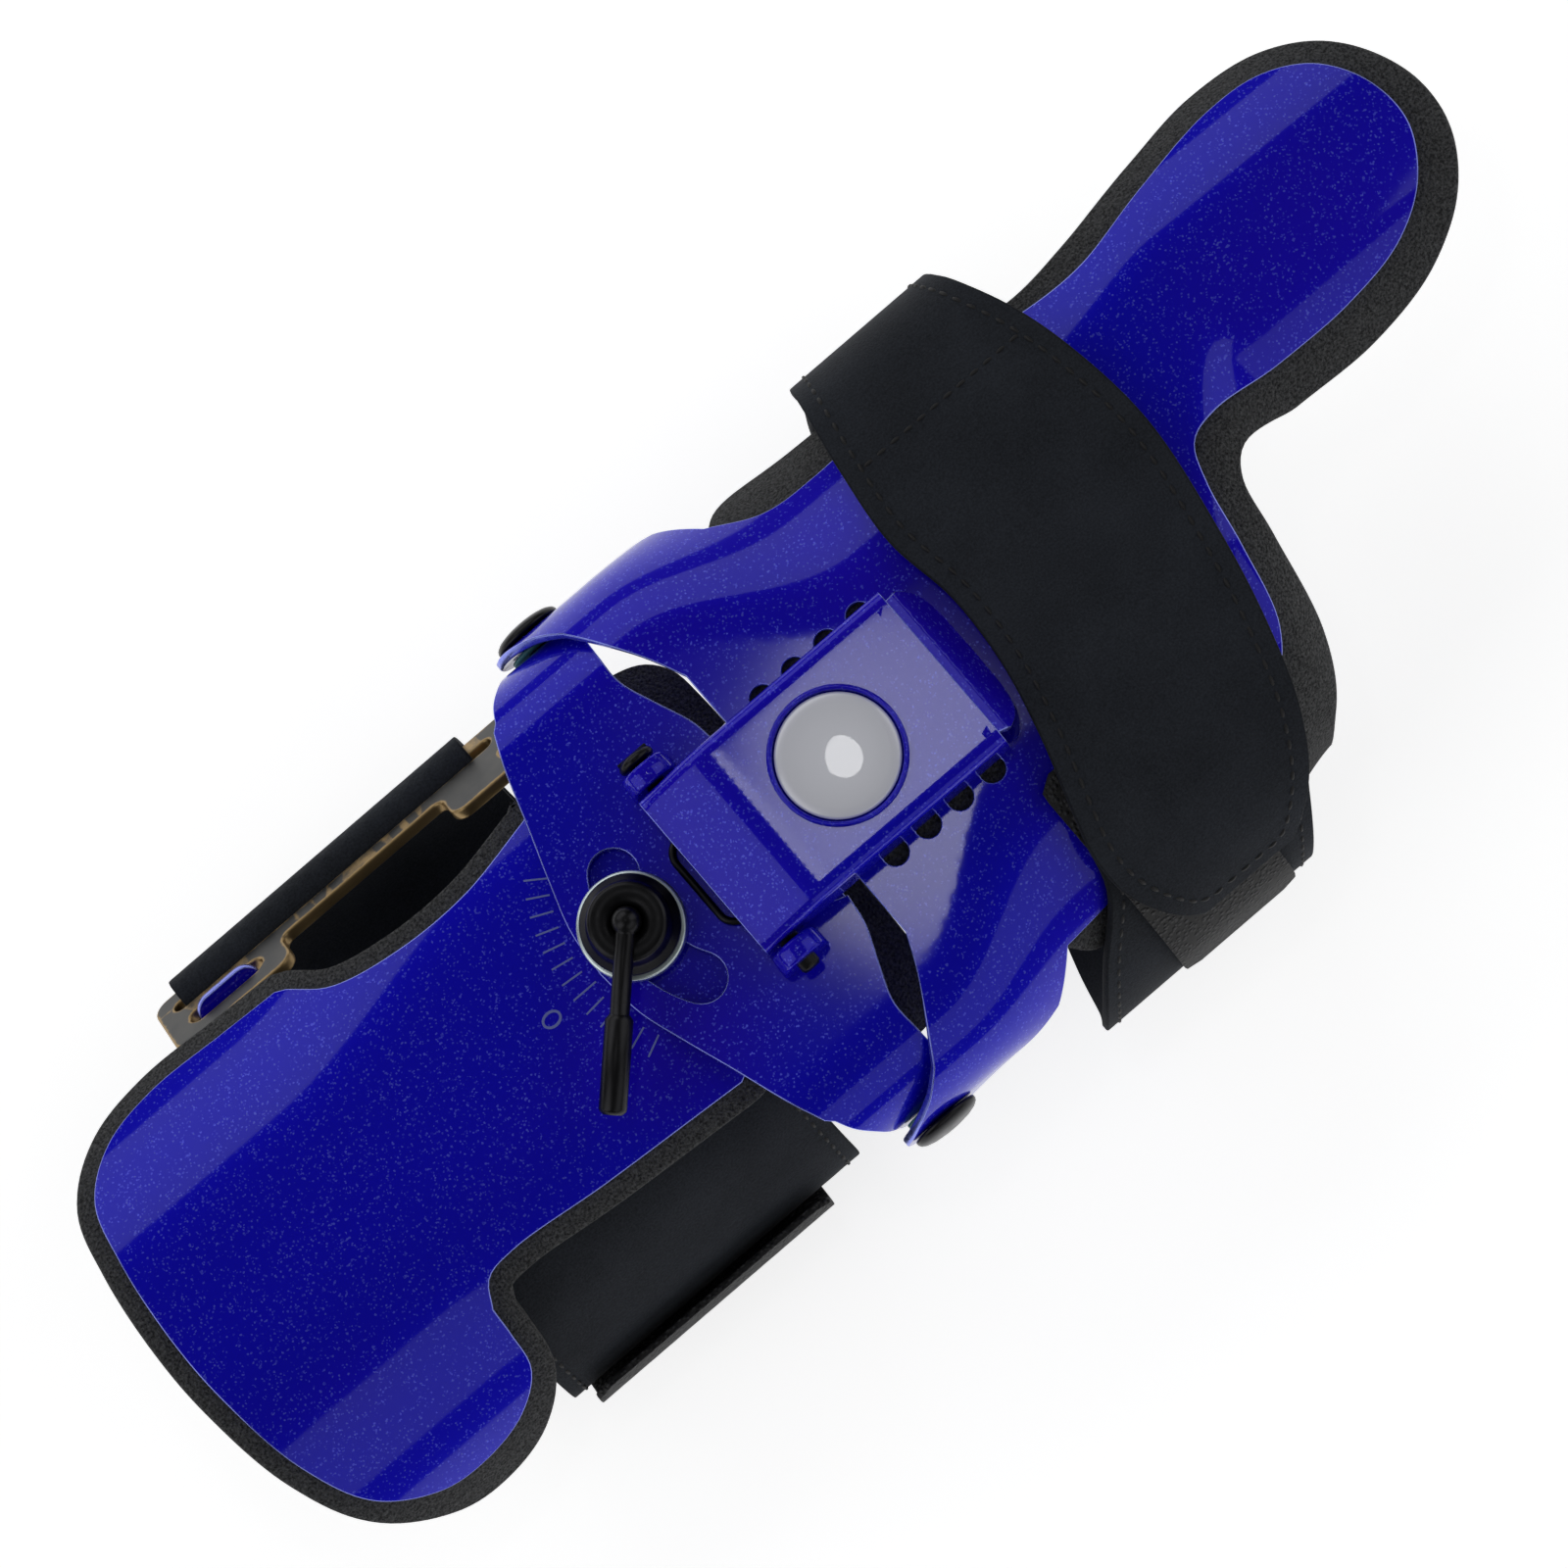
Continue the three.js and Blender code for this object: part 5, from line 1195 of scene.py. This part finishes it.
def hook() -> bpy.types.Material:
    """Black hook tape."""
    g = Graph("hook_tape")
    dots = g.cells(1100)
    return g.finish(
        Base_Color=g.mix(dots.ramp(0.1, 0.5), rgb(0.035, 0.036, 0.04), rgb(0.004, 0.004, 0.005)),
        Roughness=0.7, Normal=g.bump(dots.ramp(0, 0.55, 1, 0), 0.9, 0.0006),
    )


def metal(name: str, colour: tuple, rough: float, spread: float = 0.08,
          scale: float = 700) -> bpy.types.Material:
    """A plain metal with a little variation.

    Args:
        name: The material's name.
        colour: Base colour.
        rough: Roughness.
        spread: Variation of the roughness.
        scale: Scale of the variation.

    Returns:
        The material.
    """
    g = Graph(name)
    grain = g.noise(scale, 3)
    return g.finish(
        Base_Color=colour, Metallic=1.0, Roughness=grain.ramp(0.3, 0.7, rough, rough + spread),
        Normal=g.bump(grain, 0.12, 0.00005),
    )


def bronze() -> bpy.types.Material:
    """Dark gunmetal that wears to gold at its edges."""
    g = Graph("gunmetal")
    wear = g.attribute("rim") + g.noise(420, 4, 0.7) * 0.09
    worn = wear.ramp(0.075, 0.105, 1, 0)
    tone = g.noise(160, 3).ramp(0.3, 0.7)
    base = g.mix(tone, rgb(0.045, 0.046, 0.048), rgb(0.10, 0.098, 0.094))
    return g.finish(
        Base_Color=g.mix(worn, base, rgb(0.36, 0.25, 0.12)), Metallic=1.0,
        Roughness=tone.ramp(0, 1, 0.32, 0.44),
    )


def plain(name: str, colour: tuple, **values: object) -> bpy.types.Material:
    """A material with no pattern.

    Args:
        name: The material's name.
        colour: Base colour.
        values: Other inputs.

    Returns:
        The material.
    """
    return Graph(name).finish(Base_Color=colour, **values)


class Glove:
    """Builds every visible piece and hangs it on the frame."""

    def __init__(self) -> None:
        """Make the materials."""
        self.paint = blue_paint()
        # The edge material is lighter blue, a painted highlight along the plates' rounded edges.
        self.edge = edge_highlight_paint()
        self.foam = foam()
        self.strap = suede()
        self.cut = suede("strap_edge", 0.6)
        self.thread = plain("thread", rgb(0.004, 0.004, 0.005), Roughness=0.6)
        self.tape = hook()
        self.black = metal("black_oxide", rgb(0.028, 0.028, 0.03), 0.3)
        self.zinc = metal("zinc_plate", rgb(0.70, 0.80, 0.80), 0.26, 0.12, 260)
        self.bronze = bronze()
        self.teal = plain("teal_nylon", rgb(0.10, 0.34, 0.31), Roughness=0.35, Transmission_Weight=0.3)
        self.badge = plain("badge_silver", rgb(0.84, 0.85, 0.92), Metallic=0.1, Roughness=0.3,
                           Coat_Weight=1.0, Coat_Roughness=0.02)
        self.mark = plain("engraving", rgb(0.20, 0.24, 0.62), Metallic=0.6, Roughness=0.4)

    def add(
        self, name: str, shell: Shell, materials: Sequence[bpy.types.Material], body: str, finish: Finish,
        nodes: Sequence[str] = (), sharp: float = 32.0,
    ) -> bpy.types.Object:
        """Make one piece and hang it on its body.

        Args:
            name: The piece's name.
            shell: Its surface.
            materials: A material for each zone.
            body: The CAD body that it rides on.
            finish: Not used.
            nodes: CAD nodes that it stands for.
            sharp: Edges sharper than this stay crisp.

        Returns:
            The object.
        """
        made = shell.object(name, materials, sharp)
        if nodes:
            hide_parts(*nodes)
        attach(made, body)
        log.info("%s: %d triangles", name, len(shell.faces))
        return made

    def plates(self) -> None:
        """The three painted plates."""
        skin = [self.paint, self.edge]
        forearm = closed(FOREARM.from_plan(forearm_outline()))
        plate = pattern(forearm, FOREARM.lay, EDGE, 2.4)
        self.add("forearm_plate_skin", Shell.joined(plate, *self.lugs()), skin, "forearm", Finish.BLUE,
                 ["forearm_plate"])
        slot = closed(
            arc(0, 0, 24.7, 147, 213, 30),
            arc(*arc(0, 0, SLOT_RADIUS, 213, 213, 1)[0], 4.2, 213, 393, 14)[1:-1],
            arc(0, 0, 16.3, 213, 147, 24),
            arc(*arc(0, 0, SLOT_RADIUS, 147, 147, 1)[0], 4.2, -33, 147, 14)[1:-1],
        )
        bracket = pattern(
            bracket_outline(), BRACKET.lay, EDGE, 2.2,
            [slot, closed(arc(0, 0, 3.3, 0, 345, 20)), *(self.hinge_hole(BRACKET, side) for side in (1, -1))],
        )
        knuckles = [self.knuckle(side) for side in (1, -1)]
        self.add("wrist_bracket_skin", Shell.joined(bracket, *knuckles), skin, "wrist", Finish.BLUE,
                 ["wrist_bracket"])
        holes = [
            closed(HAND.from_plan(
                arc(HOLE_START + HOLE_PITCH * i, way * HOLE_OFFSET, HOLE_RADIUS, 0, 345, 20)))
            for i in range(HOLE_COUNT) for way in (1, -1)
        ]
        hand = pattern(
            hand_outline(), HAND.lay, EDGE, 2.4, holes + [self.hinge_hole(HAND, side) for side in (1, -1)])
        self.add("hand_plate_skin", hand, skin, "hand", Finish.BLUE, ["hand_plate"])

    @staticmethod
    def hinge_hole(form: Form, side: int) -> Array:
        """The rivet's hole in a flank.

        Args:
            form: The form.
            side: 1 for left and -1 for right.

        Returns:
            The hole in the pattern.
        """
        return closed(form.from_side(arc(HINGE[0], HINGE[1], 2.7, 0, 342, 18), side), step=0.8)

    @staticmethod
    def lugs() -> list[Shell]:
        """The two hook lugs of the forearm plate."""
        made = []
        for start, length in LUGS:
            left, bend, *_ , crown = FOREARM.section(np.array([start]))[:, 0]
            root = 30.2
            z = crown - bend + math.sqrt((bend - 0.75) ** 2 - (root - left) ** 2)
            rows = [
                (root, z), buckle_point(-0.6, -3.35), buckle_point(4.8, -2.75), buckle_point(6.2, -1.95),
                buckle_point(6.2, 0), buckle_point(6.2, 2.8),
            ]
            route = smooth(rows, 0.5)
            band = Band(np.column_stack([route, np.zeros((len(route), 2))]))
            reach = band.lengths[-1]
            x0, x1 = start + 0.2, start + length - 0.2
            outline = closed(
                np.array([(0, x0)]), arc(reach - 3, x0 + 3, 3, -90, 0, 8),
                arc(reach - 3, x1 - 3, 3, 0, 90, 8), np.array([(0, x1)]),
            )
            made.append(pattern(outline, band.lay, [(0.2, 0.75), (0, 0.55), (0, -0.55), (0.2, -0.75)], 1.8))
        return made

    @staticmethod
    def knuckle(side: int) -> Shell:
        """A knuckle beside the cover.

        Args:
            side: 1 for left and -1 for right.

        Returns:
            The knuckle.
        """
        outline = closed(
            np.array([(-6.9, -0.5), (2.3, -0.5)]), arc(-2.3, 6.2, 4.3, -10, 190, 26), step=0.9)

        def lay(p: Array, q: Array, lift: Array) -> Array:
            return np.column_stack([p, side * (20.7 + lift), q])

        profile = [(0.5, 0.0), (0.15, -0.15), (0, -0.5), (0, -3.1), (0.15, -3.45), (0.5, -3.6)]
        return pattern(outline, lay, profile, 2.0, rim_zone=0)

    def scale_marks(self) -> None:
        """The engraved turn scale on the forearm plate."""
        marks = []
        for step in range(-5, 8):
            angle = 180 - 5 * step
            inner = 31.6 if step else 30.8
            ends = np.vstack([arc(0, 0, inner, angle, angle, 1), arc(0, 0, 35.6, angle, angle, 1)])
            along = (ends[1] - ends[0]) / np.linalg.norm(ends[1] - ends[0])
            across = np.array([-along[1], along[0]]) * 0.16
            quad = np.vstack([ends[0] - across, ends[1] - across, ends[1] + across, ends[0] + across])
            marks.append(pattern(closed(FOREARM.from_plan(quad), step=1.5), lifted(FOREARM.lay, 0.05),
                                 [(0.02, 0.0), (0, -0.04), (0.02, -0.1)], 5.0, rim_zone=0))
        outer = arc(0, 0, 1.45, 0, 342, 20) * [1.25, 1]
        hole = outer * [0.76, 0.66] + [-40.3, 0]
        outer = outer + [-40.3, 0]
        marks.append(pattern(closed(FOREARM.from_plan(outer), step=1), lifted(FOREARM.lay, 0.05),
                             [(0.02, 0.0), (0, -0.04), (0.02, -0.1)], 5.0,
                             [closed(FOREARM.from_plan(hole), step=1)], 0))
        self.add("turn_scale", Shell.joined(*marks), [self.mark], "forearm", Finish.BLUE)

    def pads(self) -> None:
        """The two foam pads."""
        lift = -SHEET - GAP
        rear = forearm_outline(3.8)
        rear = rear[rear[:, 0] < -22]
        first = int(np.argmax(np.linalg.norm(np.diff(rear, axis=0, append=rear[:1]), axis=1))) + 1
        rear = np.roll(rear, -first, axis=0)
        nose = np.vstack([[(-16, -30.5), (-14.2, -21)], arc(0, 0, 21, -90, 90, 24),
                          [(-14.2, 21), (-16, 29.6)]])
        nose[:, 0] = np.minimum(nose[:, 0], 8)
        forearm = pattern(pad_pattern(FOREARM, closed(nose, rear), lift), lifted(FOREARM.lay, lift),
                          FOAM_EDGE, 3.2, rim_zone=0)
        thin = [(0.3, 0.0), (0.05, -0.2), (0, -0.75), (0.05, -1.3), (0.3, -1.5)]
        wings = pattern(pad_pattern(WING, closed(smooth(PAD_WINGS)), -4.6), lifted(WING.lay, -4.6), thin,
                        2.6, rim_zone=0)
        forearm = Shell.joined(forearm, wings)
        hand = pattern(pad_pattern(HAND, closed(smooth(HAND_PAD)), lift), lifted(HAND.lay, lift),
                       FOAM_EDGE, 3.2, rim_zone=0)
        tongue = closed(smooth([(29, -25.5), (24, -24), (17.5, -21)]),
                        smooth([(17.5, 21), (24, 24), (29, 25.5)]))
        tongue = pattern(pad_pattern(HAND, tongue, lift), lifted(HAND.lay, lift - 0.05),
                         [(0.5, 0.0), (0.1, -0.3), (0, -1), (0, -2.5), (0.1, -3.1), (0.5, -3.4)], 2.8,
                         rim_zone=0)
        hand = Shell.joined(hand, tongue)
        for shell, body in ((forearm, "forearm"), (hand, "hand")):
            made = self.add(f"{body}_pad_foam", shell, [self.foam], body, Finish.FOAM, [f"{body}_pad"], 80)

    def bands(self) -> None:
        """The wrap straps, the tab and the hook tapes."""
        forearm = Band.through(FOREARM_BAND)
        hand = Band.through(HAND_BAND)
        tape = Band.through(FOREARM_TAPE)
        patch = Band.through([(y, z, 56, 24) for y, z, _, _ in HAND_BAND[1:7]], False)
        thin = [(0.1, 0.6), (0, 0.5), (0, -0.5), (0.1, -0.6)]
        jobs = (
            ("forearm_strap_band", forearm, BAND_EDGE, 0.0, "forearm", "forearm_strap", "folded", "buckle",
             self.strap),
            ("hand_strap_band", hand, BAND_EDGE, 0.0, "hand", "hand_strap", "laid", "hand_plate",
             self.strap),
            ("forearm_tape_band", tape, thin, 0.0, "forearm", "forearm_hook_tape", "laid", "forearm_strap",
             self.tape),
            ("hand_tape_patch", patch, [(0.1, 0.45), (0, 0.35), (0, -0.35), (0.1, -0.45)], 1.64, "hand",
             "hand_hook_patch", "laid", "hand_strap", self.tape),
        )
        for name, band, profile, lift, body, node, held, under, material in jobs:
            slot = Finish.STRAP if material is self.strap else Finish.TAPE
            outline = band.outline(corner=3.0)
            shell = pattern(outline, lifted(band.lay, lift), profile, 2.6)
            rim = self.cut if material is self.strap else self.tape
            made = self.add(name, shell, [material, rim], body, slot, [node], 50)
            if material is self.strap:
                seam = band.outline(corner=3.0, trim=2.6)
                seam = np.vstack([seam, seam[:1]])
                self.add(f"{name}_seam", stitches(seam, band.lay, 0.78), [self.thread], body, Finish.STRAP)
        self.tab()

    def tab(self) -> None:
        """The hand strap's wide tab."""
        route = smooth(TAB_ROUTE[::-1], 0.8) + [0, 0.8]
        band = Band(np.column_stack([route, np.zeros((len(route), 2))]))
        length = band.lengths
        plan = smooth(TAB)
        ends = plan[np.abs(plan[:, 1]) < 57]
        s = np.interp(-ends[:, 1], -route[:, 0], length)
        outline = closed(np.column_stack([np.clip(s, 0.2, length[-1] - 0.2), ends[:, 0]]))
        profile = [(0.35, 0.85), (0.1, 0.75), (0, 0.45), (0, -0.45), (0.1, -0.75), (0.35, -0.85)]
        made = self.add("hand_strap_tab_band", pattern(outline, band.lay, profile, 2.6),
                        [self.strap, self.cut], "hand", Finish.STRAP, ["hand_strap_tab"], 50)
        seam = even(np.vstack([inset(outline, 3.2), inset(outline, 3.2)[:1]]), 1.0)
        cross_at = float(np.interp(-34, -route[:, 0], length))
        cross = np.array([(cross_at, 56.5), (cross_at, 90.5)])
        self.add("hand_strap_tab_seam", Shell.joined(
            stitches(seam, band.lay, 0.86), stitches(cross, band.lay, 0.86)), [self.thread], "hand",
            Finish.STRAP)

    def hardware(self) -> None:
        """Rivets, screws, washers, knob, lever, wire and buckle."""
        bolt = Matrix.Translation((*BOLT, 0))
        outward = Matrix.Translation((HINGE[0], 0, HINGE[1]))
        foot = -2.7 - SHEET - GAP
        pivot = lathe([
            (0, foot - 1.1), (5.8, foot - 1.1), (6, foot - 0.9), (6, foot), (3, foot), (3, -2.4), (7, -2.4),
            (7, -1.8), (3, -1.8), (3, 0.3), (5.6, 0.3), (5.55, 0.7), (5.2, 1.15), (4.4, 1.6), (3.0, 1.9),
            (1.4, 2.05), (0, 2.1),
        ])
        self.add("lateral_pivot_rivet", pivot, [self.black], "forearm", Finish.BLACK, ["lateral_pivot"])
        screw = lathe([
            (0, foot - 1.1), (5.1, foot - 1.1), (5.3, foot - 0.9), (5.3, foot), (2.9, foot), (2.9, 5.3),
            (2.4, 5.8), (0, 5.8),
        ], 48).moved(bolt)
        self.add("clamp_bolt_screw", screw, [self.black], "forearm", Finish.BLACK, ["clamp_bolt"])
        washer = lathe([
            (3.2, 0.3), (8.8, 0.3), (9.1, 0.55), (9.1, 2.5), (8.95, 2.75), (8.65, 2.9), (3.2, 2.9),
            (3.2, 0.3),
        ], 72).moved(bolt)
        self.add("clamp_washer_ring", washer, [self.zinc], "forearm", Finish.ZINC, ["clamp_washer"])
        self.knob(bolt)
        for side, way in (("left", 1), ("right", -1)):
            turn = outward @ Matrix.Rotation(-math.pi / 2 * way, 4, "X")
            rivet = lathe([
                (0, 46.4), (4.0, 46.4), (4.2, 46.6), (4.2, 47.7), (2.4, 47.7), (2.4, 52.9), (6.0, 52.9),
                (6.15, 53.05), (6.15, 53.5), (5.9, 53.95), (5.2, 54.4), (4.0, 54.75), (2.2, 55.0),
                (0, 55.1),
            ]).moved(turn)
            self.add(f"pivot_rivet_{side}_head", rivet, [self.black], "wrist", Finish.BLACK,
                     [f"pivot_rivet_{side}"])
            ring = lathe([(2.7, 49.95), (5.4, 49.95), (5.4, 50.65), (2.7, 50.65), (2.7, 49.95)],
                         48).moved(turn)
            self.add(f"pivot_washer_{side}_ring", ring, [self.teal], "wrist", Finish.TEAL,
                     [f"pivot_washer_{side}"])
        pin = lathe([
            (0, -22.5), (1.4, -22.5), (1.8, -22.0), (1.8, 21.3), (3.0, 21.3), (3.3, 21.7), (3.25, 22.3),
            (2.9, 22.8), (2.2, 23.1), (0, 23.2),
        ], 40).moved(Matrix.Translation((-2.3, 0, 6.2)) @ Matrix.Rotation(-math.pi / 2, 4, "X"))
        self.add("latch_pin_screw", pin, [self.black], "wrist", Finish.BLACK, ["latch_pin"])
        # A dark matte rod stands in for the screw's slot: painted shade in the recess, laid on the head's
        # black.
        slot_shade_line = np.array([(-5.2, 23.12, 6.2), (0.6, 23.12, 6.2)])
        self.add("latch_pin_slot_shade", tube(even(slot_shade_line, 1.0), 0.32), [self.cut], "wrist", Finish.BLACK)
        corner = arc(-5.3, 5.5, 3, 90, 180, 8), arc(-5.3, -5.5, 3, 180, 270, 8)
        route = np.vstack([[(-4.6, 8.5)], corner[0], corner[1], [(-4.6, -8.5)]])
        path = even(np.column_stack([route, np.full(len(route), 0.95)]), 0.6)
        self.add("latch_wire_loop", tube(path, 0.65, 12), [self.black], "wrist", Finish.BLACK,
                 ["latch_wire"])
        self.buckle()

    def knob(self, bolt: Matrix) -> None:
        """The clamp knob and its lever.

        Args:
            bolt: The bolt's place.
        """
        low, top = 3.2, 10.4
        body = lathe([
            (3.2, low), (8.1, low), (8.35, low + 0.25), (8.35, low + 1.9), (8.15, low + 2.2),
            (7.3, low + 2.9), (7.0, low + 3.4), (6.75, top - 0.7), (6.4, top - 0.2), (5.9, top),
            (2.85, top), (2.65, top - 0.3), (2.6, low + 3), (3.2, low),
        ], 72)
        self.add("clamp_knob_body", body.moved(bolt), [self.black], "knob", Finish.BLACK, ["clamp_knob"])
        azimuth = math.radians(225)
        tip = math.asin(3 / 31.5)
        root = bolt @ Matrix.Translation((0, 0, top + 0.6))
        lean = root @ Matrix.Rotation(azimuth, 4, "Z") @ Matrix.Rotation(math.pi / 2 + tip, 4, "Y")
        ball = [(2.5 * math.sin(a), -2.5 * math.cos(a)) for a in np.linspace(0, math.pi - 0.72, 12)]
        rod = [
            (1.65, 2.1), (1.65, 15.1), (1.75, 15.2), (2.35, 16.0), (2.35, 30.5), (2.2, 30.9), (1.6, 31.45),
            (0, 31.5),
        ]
        lever = lathe(ball + rod, 32)
        self.add("clamp_lever_arm", lever.moved(lean), [self.black], "lever", Finish.BLACK, ["clamp_lever"])
        # A dark matte rod along the lever's line stands in for the knob's groove: painted shade in the
        # recess.
        groove = bolt @ Matrix.Rotation(azimuth, 4, "Z")
        line = np.array([(2.6, 0, top - 0.5), (7.2, 0, top - 0.5)])
        self.add("clamp_knob_groove_shade", tube(even(line, 1.0), 1.0, 12).moved(groove), [self.cut], "knob",
                 Finish.BLACK)

    def buckle(self) -> None:
        """The band buckle."""
        length, deep, r = 85.8, 18.0, 3.0
        outline = closed(
            arc(r, r, r, 180, 270, 8), arc(24.8 - r, r, r, 270, 360, 8), arc(26.6, 6.2, 1.8, 180, 90, 6),
            arc(length - 27.8, 6.2, 1.8, 90, 0, 6), arc(length - 26 + r, r, r, 180, 270, 8),
            arc(length - r, r, r, 270, 360, 8), arc(length - r, deep - r, r, 0, 90, 8),
            arc(r, deep - r, r, 90, 180, 8),
        )

        def stadium(x0: float, x1: float, y0: float, y1: float) -> Array:
            radius = (y1 - y0) / 2
            return closed(arc(x1 - radius, y0 + radius, radius, -90, 90, 12),
                          arc(x0 + radius, y0 + radius, radius, 90, 270, 12))

        holes = [
            stadium(start + 90.1, start + 92.5 + size, 4.2, 8.2)
            for start, size in LUGS
        ] + [stadium(3.4, 72.4, 11.6, 14.3)]
        shell = pattern(outline, buckle_lay,
                        [(0.4, 0.0), (0.12, -0.12), (0, -0.4), (0, -1.8), (0.12, -2.08), (0.4, -2.2)],
                        1.8, holes, rim_zone=0)
        self.add("buckle_plate", shell, [self.bronze], "forearm", Finish.BRONZE, ["buckle"])

    def cover(self) -> None:
        """The latch cover and its round badge."""
        half_flat, bend, foot = 14.4, 1.8, 3.6
        crown = smooth([(-6.5, 10.4), (-3, 11.8), (1, 13.4), (4.2, 14.6), (6.4, 15), (9, 15), (30, 15),
                        (45.3, 15)], 0.8)

        def lay(p: Array, q: Array, lift: Array) -> Array:
            top = np.interp(p, crown[:, 0], crown[:, 1])
            side = np.sign(q)
            beyond = np.maximum(np.abs(q) - half_flat, 0)
            angle = np.minimum(beyond / bend, np.pi / 2)
            y = np.where(beyond > 0, side * (half_flat + (bend + lift) * np.sin(angle)), q)
            z = top - bend + (bend + lift) * np.cos(angle) - (beyond - angle * bend)
            return np.column_stack([p, y, z])

        def wall(x: Array) -> Array:
            return half_flat + bend * math.pi / 2 + np.interp(x, crown[:, 0], crown[:, 1]) - bend - foot

        rear_to_front = np.linspace(-6.5, 45.3, 40)
        side_edge = np.column_stack([rear_to_front, wall(rear_to_front)])
        skin = [(0.15, 0.0), (0, -0.12), (0, -1.25), (0.15, -1.4)]
        seat = closed(arc(BADGE_X, 0, 10.7, 0, 355, 60))
        top = pattern(closed(side_edge, side_edge[::-1] * [1, -1], step=1.2), lay, skin, 1.3, [seat],
                      ease=0.5)
        flap_route = smooth([(42.5, 14.3), (44.6, 14.3), (45.9, 13.6), (47.1, 11.9), (49.1, 8.8),
                             (50.4, 6.8)], 0.5)
        flap_band = Band(np.column_stack([flap_route, np.zeros((len(flap_route), 2))]))

        def lay_flap(p: Array, q: Array, lift: Array) -> Array:
            along = flap_band.lay(p, q, -lift)
            return along[:, [1, 0, 2]]

        reach = flap_band.lengths[-1]
        tongue = smooth([(reach - 6.5, 14.6), (reach - 4, 13.7), (reach - 1.6, 11.8), (reach - 0.35, 8.6),
                         (reach, 4), (reach, -4), (reach - 0.35, -8.6), (reach - 1.6, -11.8),
                         (reach - 4, -13.7), (reach - 6.5, -14.6)])
        flap = pattern(closed(np.array([(0.2, 13.6)]), tongue, np.array([(0.2, -13.6)])), lay_flap,
                       [(0.15, 0.68), (0, 0.55), (0, -0.55), (0.15, -0.68)], 1.8)

        def lay_rear(p: Array, q: Array, lift: Array) -> Array:
            return np.column_stack([np.full(len(p), -6.5) - lift, p, q])

        back = pattern(closed(np.array([(-15.9, 6.4), (15.9, 6.4), (15.9, 8.8), (14.6, 10.2),
                                        (-14.6, 10.2), (-15.9, 8.8)])),
                       lay_rear, [(0.15, 0.0), (0, -0.15), (0, -1.1), (0.15, -1.3)], 2.5)
        floor = lathe([(0, 13.0), (11.2, 13.0), (11.2, 14.3), (0, 14.3)], 72, 0)
        ring = lathe([(10.7, 14.0), (11.6, 14.6), (11.6, 15.4), (11.45, 15.62), (11.2, 15.72),
                      (10.95, 15.62), (10.75, 15.4), (10.7, 14.0)], 96, 0)
        place = Matrix.Translation((BADGE_X, 0, 0))
        self.add("latch_cover_skin", Shell.joined(top, flap, back, floor.moved(place), ring.moved(place)),
                 [self.paint, self.edge], "cover", Finish.BLUE, ["latch_cover"])
        disc = lathe([(0, 14.45), (10.25, 14.45), (10.4, 14.6), (10.35, 15.05), (9.9, 15.3), (8.4, 15.5),
                      (6, 15.66), (3, 15.74), (0, 15.75)], 96)
        self.add("badge_dome", disc.moved(place), [self.badge], "cover", Finish.BADGE, ["badge_disc"], 60)


# ---- studio


def studio() -> None:
    """Floor, lights, world and camera."""
    mesh = bpy.data.meshes.new("floor")
    reach = 4.0
    mesh.from_pydata([(-reach, -reach, 0), (reach, -reach, 0), (reach, reach, 0), (-reach, reach, 0)], [],
                     [(0, 1, 2, 3)])
    floor = bpy.data.objects.new("floor", mesh)
    bpy.context.scene.collection.objects.link(floor)
    white = plain("studio_floor", rgb(0.80, 0.80, 0.80), Roughness=0.9, Specular_IOR_Level=0.0,
                  Emission_Color=rgb(1.0, 1.0, 1.0), Emission_Strength=0.72)
    mesh.materials.append(white)
    world = bpy.data.worlds.new("studio")
    bpy.context.scene.world = world
    world.use_nodes = True
    background = world.node_tree.nodes["Background"]
    background.inputs["Color"].default_value = rgb(0.95, 0.97, 1.0)
    background.inputs["Strength"].default_value = 0.07
    lamps = (
        ("key_softbox", (-0.1, 1.45, 1.05), (2.2, 1.2), 8.5),
        ("left_softbox", (-1.5, 0.1, 1.1), (1.2, 1.8), 6.5),
        ("fill_softbox", (0.3, -1.5, 1.1), (2.2, 1.2), 5.0),
        ("right_softbox", (1.5, -0.2, 1.0), (1.2, 1.8), 5.5),
        ("top_card", (0.018, 0.115, 1.1), (0.085, 0.10), 0.15),
    )
    for name, place, size, power in lamps:
        data = bpy.data.lights.new(name, "AREA")
        data.shape = "ELLIPSE" if "card" in name else "RECTANGLE"
        data.size, data.size_y = size
        data.energy = power
        lamp = bpy.data.objects.new(name, data)
        lamp.location = place
        lamp.rotation_mode = "QUATERNION"
        lamp.rotation_quaternion = (Vector((0, 0, 0.05)) - Vector(place)).to_track_quat("-Z", "Y")
        bpy.context.scene.collection.objects.link(lamp)
    data = bpy.data.cameras.new("camera")
    camera = bpy.data.objects.new("camera", data)
    bpy.context.scene.collection.objects.link(camera)
    bpy.context.scene.camera = camera
    distance, covered = 1.6, 0.2556
    back = Vector((0, -0.13, 1)).normalized()
    right = Vector((0.756, -0.655, 0))
    right = (right - back * right.dot(back)).normalized()
    up = back.cross(right)
    target = Vector((ORIGIN + np.array([13.5, 4.14, 0])) / 1000)
    camera.matrix_world = Matrix.Translation(target + back * distance) @ Matrix(
        (right, up, back)).transposed().to_4x4()
    data.sensor_width = 36
    data.lens = 36 * distance / covered
    data.clip_start, data.clip_end = 0.05, 20
    bpy.context.scene.view_settings.view_transform = "Standard"


def main() -> None:
    """Build the picture."""
    logging.basicConfig(level=logging.INFO)
    glove = Glove()
    glove.plates()
    glove.scale_marks()
    glove.pads()
    glove.bands()
    glove.hardware()
    glove.cover()
    studio()


if __name__ == "__main__":
    main()
